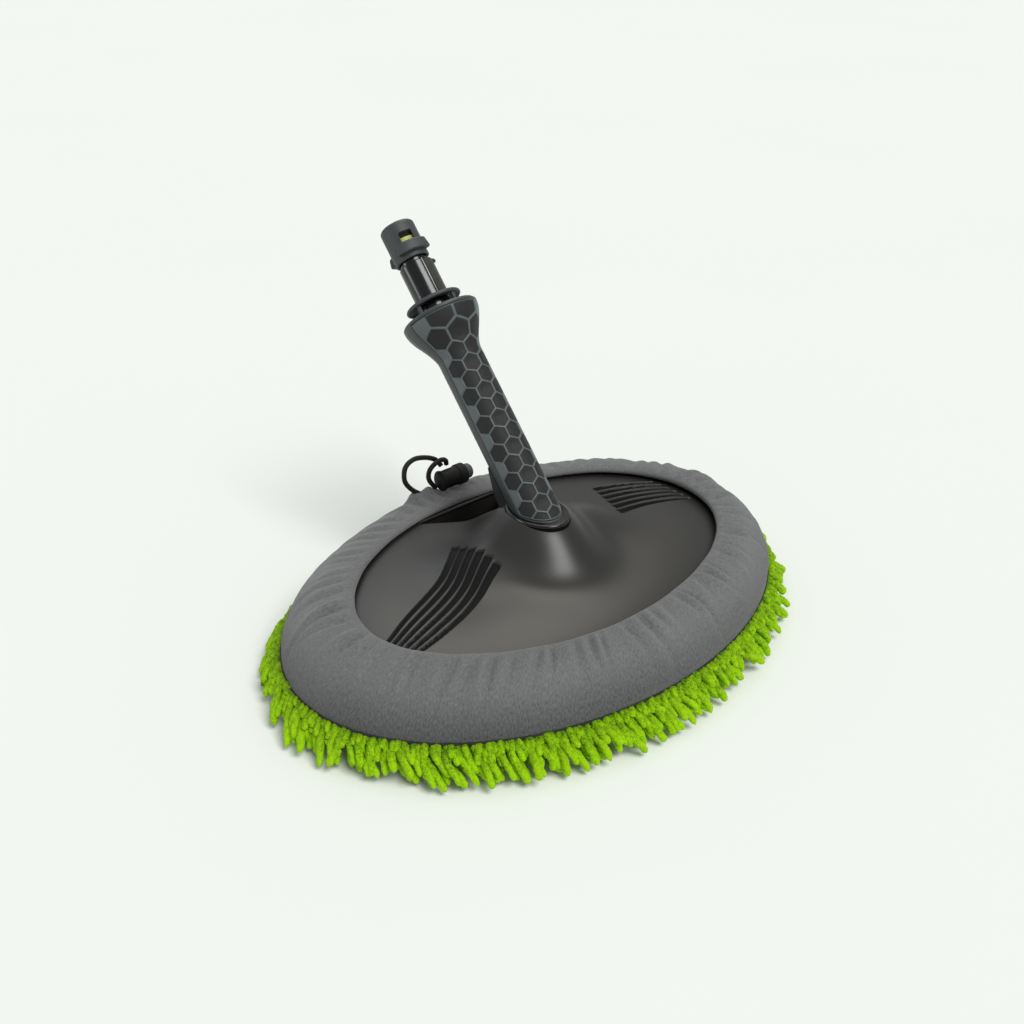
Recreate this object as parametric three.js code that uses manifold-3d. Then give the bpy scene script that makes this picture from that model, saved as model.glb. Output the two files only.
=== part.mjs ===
// A wash mitt for a pressure-washer gun: a stiff oval backing plate with a leaning handle, whose bayonet
// inlet twists into the gun, and a stretch cover with a chenille pile held on by a drawstring and cord lock.
// Millimetres, +Z up. The origin is the middle of the oval on the surface that the pile rests on, X is the
// long axis, and the handle leans towards +Y.
import * as THREE from "three";
import { mergeVertices } from "three/addons/utils/BufferGeometryUtils.js";
import Module from "manifold-3d";

const wasm = await Module();
wasm.setup();

// ---------------------------------------------------------------- driving dimensions
const GAP = 0.3; // clearance between pieces that touch
const OVAL_STEPS = 48; // points round each oval ring
const TURN_STEPS = 20; // points round each turned piece

const SEAM = { a: 165, b: 117, y: 0, z: 24 }; // where the pile is sewn to the cover
const LIP = { a: 125.5, b: 82.3, y: -5, z: 51.5 }; // inner edge of the cover's opening
const PILE_SPREAD = 11; // how far the noodles splay out past the seam
const CLOTH = 1.6; // thickness of the cover's cloth
const HEM_RADIUS = 3.2; // rolled hem that the drawstring runs in

const PLATE = { a: 155, b: 107, y: 0 }; // outline of the backing plate
const PLATE_EDGE_Z = 40; // top of the plate at its outline
const PLATE_THICKNESS = 2.8;
const RIM_RISE = 9; // rounded shoulder just inside the outline
const DISH_RISE = 6; // slow rise from there to the middle
const HUB = { height: 28, rx: 28, ry: 36 }; // boss that takes the handle
const MOUND = { height: 8, x: 41, y: 5, rx: 20, ry: 22 }; // the two ribbed mounds

const HANDLE_TILT = THREE.MathUtils.degToRad(43); // from upright, towards +Y
const HANDLE_ROLL = -THREE.MathUtils.degToRad(12); // the grips and lugs are turned this much towards -X
const HANDLE_ROOT_Z = 77.7; // where the handle's axis crosses the Z axis
// Stations along the handle's axis, from that crossing.
const FOOT = -18; // the handle is drawn from here, and its foot is then cut level with the hub
// Heights of the level cuts across the leaning handle's foot.
const SHELL_FOOT_Z = 78;
const GRIP_FOOT_Z = 81.3;
const TRIM_Z = [76.6, 80.6];
const TRIM_OVAL = { a: 16.2, b: 22.2, y: 0.3 }; // outline of the ring round the foot
const FLARE_START = 104;
const FLARE_END = 132.4; // upper end of the handle
const COLLAR = 139.5;
const SLEEVE_LOW = 168; // lower edge of the bayonet sleeve
const LUGS = [170.8, 177.6];
const WINDOW = [178.2, 184.4];
const INLET_TOP = 192;

const SHAFT_RADIUS = 13.7;
const FLARE_RADIUS = 23.8;
const SHELL_WALL = 2.2;
const GRIP_THICKNESS = 1.5;
const GRIP_STOP = 2.8; // how far below the flared rim the grips end
const GRIP_HALF_ANGLE = THREE.MathUtils.degToRad(72); // each grip covers this much to either side
const BARREL_RADIUS = 10;
const SLEEVE_RADIUS = 10.8;
const LUG_RADIUS = 14.3;
const NOSE_BORE = 7; // the gun's nozzle slides in here
const BARREL = { bore: 4, flange: 12.2, from: 117.3, seat: 120.3, shoulder: 165.6, neck: 8.6, nose: 177 };
const WATER_BORE = 3.2;

// The free stretches of the drawstring, from the hem to the lock.
const CORD_RADIUS = 1.6;
const OUTER_CORD = [
  [-18, 94, 57.2], [-21.5, 94.5, 60], [-25, 95, 64], [-27.5, 95, 68.5], [-28, 95, 73], [-26.8, 95.5, 77.2],
  [-23.5, 96, 80], [-18.5, 96.5, 81], [-13.5, 97.3, 79.9], [-8.5, 98.2, 78], [-4, 99, 75.7],
  [0.2, 98.8, 72.9], [2.3, 96.5, 69],
];
const INNER_CORD = [
  [-5.5, 92.5, 57.4], [-7.5, 93, 60], [-9.6, 93.3, 63.3], [-10.3, 93.5, 66.8], [-9, 94, 70.2],
  [-6, 94.3, 72.7], [-2.2, 94.6, 74], [2, 94.9, 74.2], [5.2, 95.6, 72.2], [6.4, 96.5, 69],
];
const LOCK = { x: -4, y: 91, z: 61.8, radius: 6.8, bore: 5.2, length: 20, stroke: 3.5 };

// ---------------------------------------------------------------- small helpers
const vec = (x, y, z) => new THREE.Vector3(x, y, z);
const lerp = THREE.MathUtils.lerp;
const range = (n) => Array.from({ length: n }, (_, i) => i);

/** A closed surface through rings of points, all with the same count. The ends are capped or joined. */
function loft(rings, joined = false) {
  const count = rings[0].length;
  const points = rings.flat();
  const faces = [];
  const last = joined ? rings.length : rings.length - 1;
  for (let i = 0; i < last; i++) {
    const low = i * count;
    const high = ((i + 1) % rings.length) * count;
    for (let j = 0; j < count; j++) {
      const k = (j + 1) % count;
      faces.push(low + j, low + k, high + k, low + j, high + k, high + j);
    }
  }
  if (!joined) {
    for (const [ring, base, up] of [[rings[0], 0, false], [rings.at(-1), points.length - count, true]]) {
      for (const [a, b, c] of capOf(ring)) {
        faces.push(base + a, base + (up ? b : c), base + (up ? c : b));
      }
    }
  }
  const geometry = new THREE.BufferGeometry().setFromPoints(points);
  geometry.setIndex(faces);
  if (volumeOf(geometry) < 0) {
    for (let i = 0; i < faces.length; i += 3) [faces[i + 1], faces[i + 2]] = [faces[i + 2], faces[i + 1]];
    geometry.setIndex(faces);
  }
  return geometry;
}

/** Triangles that fill a flat ring of points. */
function capOf(ring) {
  const across = vec(0, 0, 0).subVectors(ring[1], ring[0]).normalize();
  const normal = vec(0, 0, 0);
  ring.forEach((p, i) => normal.add(vec(0, 0, 0).crossVectors(p, ring[(i + 1) % ring.length])));
  normal.normalize();
  const up = vec(0, 0, 0).crossVectors(normal, across);
  const flat = ring.map((p) => new THREE.Vector2(p.dot(across), p.dot(up)));
  return THREE.ShapeUtils.triangulateShape(flat, []);
}

function volumeOf(geometry) {
  const at = geometry.getAttribute("position");
  const index = geometry.index.array;
  const [a, b, c] = [vec(0, 0, 0), vec(0, 0, 0), vec(0, 0, 0)];
  let six = 0;
  for (let i = 0; i < index.length; i += 3) {
    a.fromBufferAttribute(at, index[i]);
    b.fromBufferAttribute(at, index[i + 1]);
    c.fromBufferAttribute(at, index[i + 2]);
    six += a.dot(b.cross(c));
  }
  return six / 6;
}

function solid(geometry) {
  const bare = geometry.clone();
  bare.deleteAttribute("normal");
  bare.deleteAttribute("uv");
  const merged = mergeVertices(bare, 1e-3);
  return new wasm.Manifold(
    new wasm.Mesh({
      numProp: 3,
      vertProperties: merged.getAttribute("position").array,
      triVerts: new Uint32Array(merged.index.array),
    }),
  );
}

function geometryOf(manifold) {
  const mesh = manifold.getMesh();
  const geometry = new THREE.BufferGeometry();
  geometry.setAttribute("position", new THREE.BufferAttribute(new Float32Array(mesh.vertProperties), 3));
  geometry.setIndex(new THREE.BufferAttribute(new Uint32Array(mesh.triVerts), 1));
  return geometry;
}

const cut = (from, ...tools) => geometryOf(tools.reduce((rest, t) => rest.subtract(solid(t)), solid(from)));
const join = (first, ...more) => geometryOf(more.reduce((all, t) => all.add(solid(t)), solid(first)));

/** An oval ring: half-axes a and b, its middle at y, height z. */
const oval = (a, b, y, z) =>
  range(OVAL_STEPS).map((i) => {
    const turn = (2 * Math.PI * i) / OVAL_STEPS;
    return vec(a * Math.cos(turn), y + b * Math.sin(turn), z);
  });

/** A piece turned about Z, from a closed profile of [radius, height] points. */
function turned(profile, steps = TURN_STEPS) {
  const onAxis = profile[0][0] === 0;
  const points = (onAxis ? profile : [...profile, profile[0]]).map(([r, z]) => new THREE.Vector2(r, z));
  return facingOut(new THREE.LatheGeometry(points, steps).rotateX(Math.PI / 2));
}

/** The same geometry with merged corners and its faces pointing out. */
function facingOut(geometry) {
  geometry.deleteAttribute("normal");
  geometry.deleteAttribute("uv");
  const merged = mergeVertices(geometry, 1e-3);
  const index = merged.index.array;
  if (volumeOf(merged) < 0) {
    for (let i = 0; i < index.length; i += 3) [index[i + 1], index[i + 2]] = [index[i + 2], index[i + 1]];
  }
  return merged;
}

/** A rod along Z from z0 to z1. */
const rod = (radius, z0, z1, steps = TURN_STEPS) => turned([[0, z0], [radius, z0], [radius, z1], [0, z1]], steps);

/** A tube along Z. */
const pipe = (outer, inner, z0, z1, steps = TURN_STEPS) =>
  turned([[inner, z0], [outer, z0], [outer, z1], [inner, z1]], steps);

/** A rubber ring about Z. */
function ring(radius, thickness, z) {
  const sides = 6;
  const profile = range(sides).map((i) => {
    const turn = (2 * Math.PI * i) / sides;
    return [radius + thickness * Math.cos(turn), z + thickness * Math.sin(turn)];
  });
  return turned(profile, 16);
}

const box = (w, d, h, x, y, z) => new THREE.BoxGeometry(w, d, h).translate(x, y, z);

/** A round tube along a smooth curve. */
function tubeAlong(curve, radius, sides, steps) {
  const section = new THREE.Shape(
    range(sides).map((i) => {
      const turn = (2 * Math.PI * i) / sides;
      return new THREE.Vector2(radius * Math.cos(turn), radius * Math.sin(turn));
    }),
  );
  return facingOut(new THREE.ExtrudeGeometry(section, { extrudePath: curve, steps, bevelEnabled: false }));
}

/** Points on an arc about Z at height z, from angle a0 to a1, measured from the handle's front (-Y). */
const arc = (radius, a0, a1, z, steps) =>
  range(steps + 1).map((i) => {
    const turn = lerp(a0, a1, i / steps);
    return vec(radius * Math.sin(turn), -radius * Math.cos(turn), z);
  });

// ---------------------------------------------------------------- backing plate
const bump = (x, y, rx, ry) => Math.exp(-((x / rx) ** 2) - (y / ry) ** 2);

/** Height of the plate's top face. */
function plateTop(x, y) {
  const out = Math.hypot(x / PLATE.a, (y - PLATE.y) / PLATE.b);
  const dish = PLATE_EDGE_Z + RIM_RISE * (1 - out ** 6) + DISH_RISE * (1 - out ** 2);
  const hub = HUB.height * Math.exp(-(Math.hypot(x / HUB.rx, y / HUB.ry) ** 3));
  const mounds = MOUND.height * bump(Math.abs(x) - MOUND.x, y - MOUND.y, MOUND.rx, MOUND.ry);
  return dish + hub + mounds;
}

const BAY_FLOOR_Z = 37.5; // the open bay's walls reach down to here
const BAY = { front: 49, back: 74, frontHalf: 11, backHalf: 35, wall: 2.2 };

/** Outline of the bay behind the hub, or of its wall when grown. */
function bayPrism(grow, z0, z1) {
  const corner = 5;
  const half = [BAY.frontHalf + grow, BAY.backHalf + grow];
  const ends = [BAY.front - grow, BAY.back + grow];
  const shape = new THREE.Shape();
  shape.moveTo(half[0] - corner, ends[0]);
  shape.quadraticCurveTo(half[0], ends[0], half[0] + 2, ends[0] + corner);
  shape.lineTo(half[1], ends[1] - corner);
  shape.quadraticCurveTo(half[1], ends[1], half[1] - corner, ends[1]);
  shape.lineTo(corner - half[1], ends[1]);
  shape.quadraticCurveTo(-half[1], ends[1], -half[1], ends[1] - corner);
  shape.lineTo(-half[0] - 2, ends[0] + corner);
  shape.quadraticCurveTo(-half[0], ends[0], corner - half[0], ends[0]);
  return facingOut(
    new THREE.ExtrudeGeometry(shape, { depth: z1 - z0, bevelEnabled: false, curveSegments: 3 }).translate(0, 0, z0),
  );
}

/** The handle's own frame: Z along its axis, -Y at its front. */
const handlePlace = new THREE.Matrix4()
  .makeTranslation(0, 0, HANDLE_ROOT_Z)
  .multiply(new THREE.Matrix4().makeRotationX(-HANDLE_TILT));
const inHandle = (geometry) => geometry.clone().applyMatrix4(handlePlace);
const onAxis = (s) => vec(0, 0, s).applyMatrix4(handlePlace);

const ELBOW_BEND = onAxis(-22); // the water path turns straight down here
const MANIFOLD_SCREW_RING = 25; // radius of the circle of manifold screws
const BOSS_FOOT_Z = 43.2;
const screwPlaces = range(4).map((i) => {
  const turn = (i * Math.PI) / 2 + Math.PI / 4;
  return [MANIFOLD_SCREW_RING * Math.cos(turn), ELBOW_BEND.y + MANIFOLD_SCREW_RING * Math.sin(turn)];
});

function backingPlate() {
  const shares = [1, 0.93, 0.84, 0.72, 0.6, 0.48, 0.37, 0.27, 0.18, 0.09];
  const skin = (drop) =>
    shares.map((s) =>
      oval(PLATE.a * s - drop, PLATE.b * s - drop, PLATE.y, 0).map((p) => p.setZ(plateTop(p.x, p.y) - drop)),
    );
  const shell = loft([oval(PLATE.a - PLATE_THICKNESS, PLATE.b - PLATE_THICKNESS, PLATE.y, 36),
    oval(PLATE.a, PLATE.b, PLATE.y, 36), ...skin(0)]);
  const inside = loft([oval(PLATE.a - PLATE_THICKNESS, PLATE.b - PLATE_THICKNESS, PLATE.y, 30),
    ...skin(PLATE_THICKNESS)]);
  const wallBlock = bayPrism(BAY.wall, BAY_FLOOR_Z, 80);
  const underSkin = loft([oval(PLATE.a, PLATE.b, PLATE.y, 30), ...skin(1)]);
  const bayWall = geometryOf(solid(wallBlock).intersect(solid(underSkin)));
  const bosses = screwPlaces.map(([x, y]) => rod(3.4, BOSS_FOOT_Z, plateTop(x, y) - 1, 12).translate(x, y, 0));
  const pilots = screwPlaces.map(([x, y]) => rod(1.8, BOSS_FOOT_Z - 1, BOSS_FOOT_Z + 9, 12).translate(x, y, 0));
  const hollow = cut(shell, inside);
  return cut(
    join(hollow, bayWall, ...bosses),
    ...pilots,
    bayPrism(0, 30, 80),
    loft([72, 100].map((z) => oval(TRIM_OVAL.a + GAP, TRIM_OVAL.b + GAP, TRIM_OVAL.y, z))),
    inHandle(brace(GAP)),
  );
}

// ---------------------------------------------------------------- handle
const TRIM_BORE = 14.1;
const inWorld = handlePlace.clone().invert();

/** What is left of a handle piece above a level cut; roll is how far the piece's frame is turned. */
const cutLevel = (geometry, z, roll) =>
  cut(geometry, box(90, 90, 60, 0, 0, z - 30).applyMatrix4(inWorld).rotateZ(-roll));

/** Outer radius of the handle at a station. */
function handleRadius(s) {
  const k = THREE.MathUtils.clamp((s - FLARE_START) / (FLARE_END - 3 - FLARE_START), 0, 1);
  const ease = lerp(k, k * k * (3 - 2 * k), 0.75);
  return lerp(SHAFT_RADIUS, FLARE_RADIUS, ease);
}

const STATIONS = [FOOT, 15, 45, 75, FLARE_START, 109, 114, 119, 124, 129, FLARE_END];
const rimRound = (s) => (s >= FLARE_END - 0.01 ? 1 : 0);

/** One half of the handle; facing is 0 for the front half and pi for the rear half. */
function handleHalf(facing) {
  const edge = Math.PI / 2 - 0.02;
  const rings = STATIONS.map((s) => {
    const outer = handleRadius(s) - rimRound(s);
    const seat = handleRadius(s) - GRIP_THICKNESS - GAP;
    const inner = handleRadius(s) - GRIP_THICKNESS - GAP - SHELL_WALL;
    return [
      ...arc(outer, facing - edge, facing - GRIP_HALF_ANGLE, s, 2),
      ...arc(Math.min(seat, outer), facing - GRIP_HALF_ANGLE + 0.02, facing + GRIP_HALF_ANGLE - 0.02, s, 10),
      ...arc(outer, facing + GRIP_HALF_ANGLE, facing + edge, s, 2),
      ...arc(inner, facing + edge, facing - edge, s, 10),
    ];
  });
  return cutLevel(loft(rings), SHELL_FOOT_Z, HANDLE_ROLL);
}

/** A soft grip let into one half. It stops short of the rim and above the foot. */
function grip(facing) {
  const half = GRIP_HALF_ANGLE - 0.045;
  const rings = STATIONS.map((s) => {
    const at = Math.min(s, FLARE_END - GRIP_STOP);
    const outer = handleRadius(at);
    return [
      ...arc(outer, facing - half, facing + half, at, 12),
      ...arc(outer - GRIP_THICKNESS, facing + half, facing - half, at, 12),
    ];
  });
  return cutLevel(loft(rings), GRIP_FOOT_Z, HANDLE_ROLL);
}

const SCREW_STATIONS = [18, 57, 96];
const SCREW = { x: 7.2, radius: 1.1, head: 2.4, tip: -6, seat: 5.2 }; // beside the water tube, along Y
const POST = { width: 4.8, depth: 7.3, height: 6 };

const screwShape = (grow) =>
  turned([[0, SCREW.tip - grow], [SCREW.radius + grow, SCREW.tip - grow], [SCREW.radius + grow, SCREW.seat - grow],
    [SCREW.head + grow, SCREW.seat - grow], [SCREW.head + grow, SCREW.seat + 1.5 + grow * 10],
    [0, SCREW.seat + 1.5 + grow * 10]], 12);
const atScrew = (geometry, s) => geometry.rotateX(-Math.PI / 2).translate(SCREW.x, 0, s);

/** The posts inside one half that the screws pass through; side is 1 for the rear half, -1 for the front. */
const screwPosts = (side) =>
  SCREW_STATIONS.map((s) =>
    box(POST.width, POST.depth, POST.height, SCREW.x, side * (POST.depth / 2 + GAP / 2), s),
  );

function shellWithPosts(facing, side) {
  return cut(join(handleHalf(facing), ...screwPosts(side)),
    ...SCREW_STATIONS.map((s) => atScrew(screwShape(GAP), s)));
}

const TUBE = { radius: 4.4, from: -13, to: 114 };
const waterTube = () => pipe(TUBE.radius, WATER_BORE, TUBE.from, TUBE.to);

/** The level ring round the foot, in the plate's frame; the leaning handle passes through it. */
const socketTrim = () =>
  cut(
    loft([[TRIM_Z[0], 0], [TRIM_Z[1] - 1, 0], [TRIM_Z[1], 1]].map(([z, inset]) =>
      oval(TRIM_OVAL.a - inset, TRIM_OVAL.b - inset, TRIM_OVAL.y, z))),
    inHandle(rod(TRIM_BORE, -40, 40)),
  );

const NECK_FOOT = -16.5;

/** The brace behind the handle, grown by a clearance where it is used as a cutter. */
function brace(grow) {
  const thickness = 11;
  const side = new THREE.Shape([
    new THREE.Vector2(17.2 - grow, 40 + grow),
    new THREE.Vector2(19.5 + grow, 36 + grow),
    new THREE.Vector2(24 + grow, 25),
    new THREE.Vector2(27 + grow, 10),
    new THREE.Vector2(28 + grow, -4),
    new THREE.Vector2(25 + grow, NECK_FOOT),
    new THREE.Vector2(17.2 - grow, NECK_FOOT),
  ]);
  const wide = thickness + 2 * grow;
  const web = new THREE.ExtrudeGeometry(side, { depth: wide, bevelEnabled: false });
  // The outline is drawn in (rear, along the axis); the extrusion becomes the piece's width in X.
  return facingOut(web.applyMatrix4(new THREE.Matrix4().makeBasis(vec(0, 1, 0), vec(0, 0, 1), vec(1, 0, 0)))
    .translate(-wide / 2, 0, 0));
}

/** The spigot in the handle's foot, joined under the trim to the brace. */
function neckSocket() {
  const spigot = rod(8.6, NECK_FOOT, 12);
  const bridge = box(11, 20, 4.2, 0, 9, NECK_FOOT + 2.1);
  return cut(join(spigot, bridge, brace(0)), rod(TUBE.radius + GAP, TUBE.from - GAP, 30), rod(WATER_BORE, -30, 0));
}

// ---------------------------------------------------------------- inlet
function inletSleeve() {
  const body = turned([[9, SLEEVE_LOW], [SLEEVE_RADIUS, SLEEVE_LOW], [SLEEVE_RADIUS, INLET_TOP - 1.4],
    [SLEEVE_RADIUS - 1.4, INLET_TOP], [NOSE_BORE, INLET_TOP], [NOSE_BORE, INLET_TOP - 6], [9, INLET_TOP - 6]]);
  const lug = (facing) => {
    const half = THREE.MathUtils.degToRad(42);
    const foot = half + 0.16; // the lug's ends slope, wider at its lower edge
    return loft([[LUGS[0], foot, 0.5], [LUGS[0] + 1, foot, 0], [LUGS[1] - 1.2, half, 0], [LUGS[1], half, 1.2]].map(
      ([s, wide, inset]) => [
        ...arc(LUG_RADIUS - inset, facing - wide, facing + wide, s, 10),
        ...arc(9.6, facing + wide, facing - wide, s, 10),
      ]));
  };
  const [low, high] = WINDOW;
  const window = box(8.4, 8, high - low, 0, -10, (low + high) / 2).rotateZ(-THREE.MathUtils.degToRad(16));
  return cut(join(body, lug(HANDLE_ROLL), lug(Math.PI + HANDLE_ROLL)), window);
}

const inletInsert = () => pipe(BARREL.neck, 3.5, BARREL.nose + GAP, 181.6);
const inletORing = () => ring(7.2, 1.2, 183.3);
const inletBarrel = () =>
  turned([[BARREL.bore, BARREL.from], [BARREL.flange, BARREL.from], [BARREL.flange, BARREL.seat],
    [BARREL_RADIUS, BARREL.seat], [BARREL_RADIUS, BARREL.shoulder], [BARREL.neck, BARREL.shoulder],
    [BARREL.neck, BARREL.nose], [BARREL.bore, BARREL.nose]]);
const barrelSeal = () => ring(7.6, 1.3, 115.6);

function latchRail() {
  const from = 0;
  const to = THREE.MathUtils.degToRad(66);
  const strip = loft([143, 165].map((s) => [
    ...arc(BARREL_RADIUS + 0.9, from, to, s, 6),
    ...arc(BARREL_RADIUS + GAP, to, from, s, 6),
  ]));
  const nub = loft([162.6, 164.6].map((s, i) => [
    ...arc(BARREL_RADIUS + 2.4 - i * 0.6, to - 0.22, to - 0.02, s, 2),
    ...arc(BARREL_RADIUS + 0.6, to - 0.02, to - 0.22, s, 2),
  ]));
  return join(strip, nub);
}

function guardCollar() {
  const hole = BARREL_RADIUS + GAP;
  const rim = 17.5;
  const disc = turned([[hole, COLLAR], [rim - 2.4, COLLAR], [rim - 1, COLLAR - 0.9], [rim, COLLAR - 0.2],
    [rim, COLLAR + 1.1], [rim - 1, COLLAR + 2], [rim - 2.4, COLLAR + 1.5], [hole, COLLAR + 1.5]]);
  const posts = range(4).map((i) => {
    const turn = (i * Math.PI) / 2 + 0.35;
    return rod(1.2, FLARE_END - 1.1, COLLAR + 0.5, 8).translate(15.2 * Math.sin(turn), -15.2 * Math.cos(turn), 0);
  });
  return join(disc, ...posts);
}

const inletRetainer = () =>
  turned([[BARREL_RADIUS + GAP, BARREL.seat + 0.4], [14, BARREL.seat + 0.4], [16.4, FLARE_END - 3.4], [18, FLARE_END - 1.4],
    [BARREL_RADIUS + GAP, FLARE_END - 1.4]]);

// ---------------------------------------------------------------- water path under the plate
const ELBOW_RADIUS = 6.4;

function waterElbow() {
  const path = (from, to) => new THREE.QuadraticBezierCurve3(from, ELBOW_BEND, to);
  const down = (z) => vec(0, ELBOW_BEND.y, z);
  const outside = tubeAlong(path(onAxis(NECK_FOOT - GAP), down(47.4)), ELBOW_RADIUS, 12, 6);
  return cut(outside, tubeAlong(path(onAxis(NECK_FOOT + 2), down(45)), WATER_BORE, 8, 6));
}

const underElbow = (geometry) => geometry.translate(0, ELBOW_BEND.y, 0);
const sprayManifold = () =>
  cut(
    underElbow(turned([[WATER_BORE, 38.6], [30, 38.6], [30, 42], [9, 42], [9, 45], [WATER_BORE, 45]])),
    ...screwPlaces.map(([x, y]) => rod(1.8, 37, 43, 12).translate(x, y, 0)),
  );
const manifoldSeal = () => underElbow(ring(5.4, 0.8, 46.2));
const manifoldScrew = ([x, y]) =>
  turned([[0, 36.7], [3, 36.7], [3, 38.3], [1.5, 38.3], [1.5, 50], [0, 50]], 12).translate(x, y, 0);

// ---------------------------------------------------------------- soft parts
const foamPad = () =>
  cut(loft([oval(158, 110, 0, 23.4), oval(160, 112, 0, 26), oval(158, 110, 0, 35.6)]), underElbow(rod(9, 20, 40)));

/** Cloth ring from the hem, over the plate's shoulder, down to the seam. */
function coverBand() {
  const profile = [ // half-axis shares of the way from the lip (0) to the seam (1), and heights
    [0.16, 53.2], [0.32, 53.4], [0.48, 51.4], [0.66, 46.8], [0.82, 41], [0.93, 35], [0.99, 29.5], [1, SEAM.z + 0.3],
  ];
  const at = (share, z, inset) =>
    oval(lerp(LIP.a, SEAM.a, share) - inset, lerp(LIP.b, SEAM.b, share) - inset, lerp(LIP.y, SEAM.y, share), z);
  const outside = profile.map(([share, z]) => at(share, z, 0));
  const inside = profile.map(([share, z], i) => {
    const steep = i / (profile.length - 1);
    return at(share, z - CLOTH * (1 - steep), CLOTH * steep);
  });
  return loft([...outside, ...inside.reverse()], true);
}

function hemCasing() {
  const sides = 8;
  const rings = range(sides).map((i) => {
    const turn = (2 * Math.PI * i) / sides;
    const out = HEM_RADIUS * (1 - Math.cos(turn));
    return oval(LIP.a + out - 2, LIP.b + out - 2, LIP.y, LIP.z + 1.6 + HEM_RADIUS * 0.7 * Math.sin(turn));
  });
  return loft(rings, true);
}

const padBacking = () => loft([oval(SEAM.a - 0.5, SEAM.b - 0.5, 0, 22), oval(SEAM.a, SEAM.b, 0, 23.1)]);

function chenillePile() {
  const spread = (out, z) => oval(SEAM.a + out, SEAM.b + out, 0, z);
  return loft([spread(PILE_SPREAD - 8, 0), spread(PILE_SPREAD - 1, 2.5), spread(PILE_SPREAD, 8),
    spread(PILE_SPREAD - 4, 15), spread(0.5, 21.7)]);
}

// ---------------------------------------------------------------- cord lock and drawstring
const CORD_HOLE = { at: 8.2, long: 8, high: 3.8 }; // across the lock, for both ends of the drawstring
const PLUNGER = { from: 6.8, proud: 5.2 }; // its inner end, and how far it stands out of the body

function lockBody() {
  const { radius, bore, length } = LOCK;
  const barrel = turned([[0, 0], [radius - 1.2, 0], [radius, 1.2], [radius, length - 0.6], [radius - 0.6, length],
    [bore, length], [bore, 1.6], [0, 1.6]]);
  return cut(barrel, box(CORD_HOLE.high, 30, CORD_HOLE.long, 0, 0, CORD_HOLE.at));
}

/** The sprung button. Its own hole meets the body's only when it is pressed in. */
function lockButton() {
  const outer = LOCK.length + PLUNGER.proud;
  const radius = LOCK.bore - GAP;
  return cut(
    turned([[0, PLUNGER.from], [radius, PLUNGER.from], [radius, outer - 1], [radius - 1, outer], [0, outer]], 16),
    box(CORD_HOLE.high, 30, CORD_HOLE.long - 0.6, 0, 0, CORD_HOLE.at + LOCK.stroke),
  );
}

function lockSpring() {
  const turns = 3;
  const [low, high] = [2.2, PLUNGER.from - 0.5];
  const coil = new (class extends THREE.Curve {
    getPoint(t, target = vec(0, 0, 0)) {
      const turn = 2 * Math.PI * turns * t;
      return target.set(3.6 * Math.cos(turn), 3.6 * Math.sin(turn), lerp(low, high, t));
    }
  })();
  return tubeAlong(coil, 0.25, 6, turns * 12);
}

/** Turns a piece drawn about Z to lie along +X in the lock's place, with its cord hole up and back. */
function inLock(geometry) {
  const holeTilt = THREE.MathUtils.degToRad(53); // of the cord hole, from level
  return geometry
    .rotateZ(Math.PI / 2 - holeTilt)
    .rotateY(Math.PI / 2)
    .translate(LOCK.x, LOCK.y, LOCK.z);
}

const cord = (points) =>
  tubeAlong(new THREE.CatmullRomCurve3(points.map((p) => vec(...p))), CORD_RADIUS, 8, 26);

// ---------------------------------------------------------------- materials and assembly
const finish = (color, roughness, metalness = 0) => ({ color, roughness, metalness });
const FINISH = {
  sleeve: finish("#45484a", 0.75),
  insert: finish("#bebe6f", 0.5),
  rubber: finish("#141414", 0.7),
  gloss: finish("#0c0d0e", 0.15),
  rail: finish("#50524c", 0.5),
  shell: finish("#4b5255", 0.42),
  grip: finish("#2f2f31", 0.7),
  navy: finish("#15181d", 0.5),
  plate: finish("#4a4945", 0.38),
  clear: finish("#c9ced0", 0.3),
  steel: finish("#b0b2b4", 0.35, 1),
  foam: finish("#202020", 0.95),
  cover: finish("#767676", 0.95),
  pile: finish("#86c000", 0.95),
  cord: finish("#0b0b0b", 0.8),
  button: finish("#5a5a5a", 0.6),
};

const part = new THREE.Group();
const handle = new THREE.Group();
handle.applyMatrix4(handlePlace);
part.add(handle);
const halves = new THREE.Group();
halves.rotation.z = HANDLE_ROLL;
handle.add(halves);

function place(group, name, geometry, look) {
  const mesh = new THREE.Mesh(geometry, new THREE.MeshStandardMaterial(FINISH[look]));
  mesh.name = name;
  group.add(mesh);
}

place(handle, "inlet_sleeve", inletSleeve(), "sleeve");
place(handle, "inlet_insert", inletInsert(), "insert");
place(handle, "inlet_o_ring", inletORing(), "rubber");
place(handle, "inlet_barrel", inletBarrel(), "gloss");
place(handle, "latch_rail", latchRail(), "rail");
place(handle, "guard_collar", guardCollar(), "sleeve");
place(handle, "inlet_retainer", inletRetainer(), "gloss");
place(handle, "barrel_seal", barrelSeal(), "rubber");
place(halves, "handle_front_shell", shellWithPosts(0, -1), "shell");
place(halves, "handle_rear_shell", shellWithPosts(Math.PI, 1), "shell");
place(halves, "front_grip", grip(0), "grip");
place(halves, "rear_grip", grip(Math.PI), "grip");
SCREW_STATIONS.forEach((s, i) => place(halves, `handle_screw_${i + 1}`, atScrew(screwShape(0), s), "steel"));
place(handle, "water_tube", waterTube(), "clear");
place(handle, "neck_socket", neckSocket(), "navy");

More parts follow.
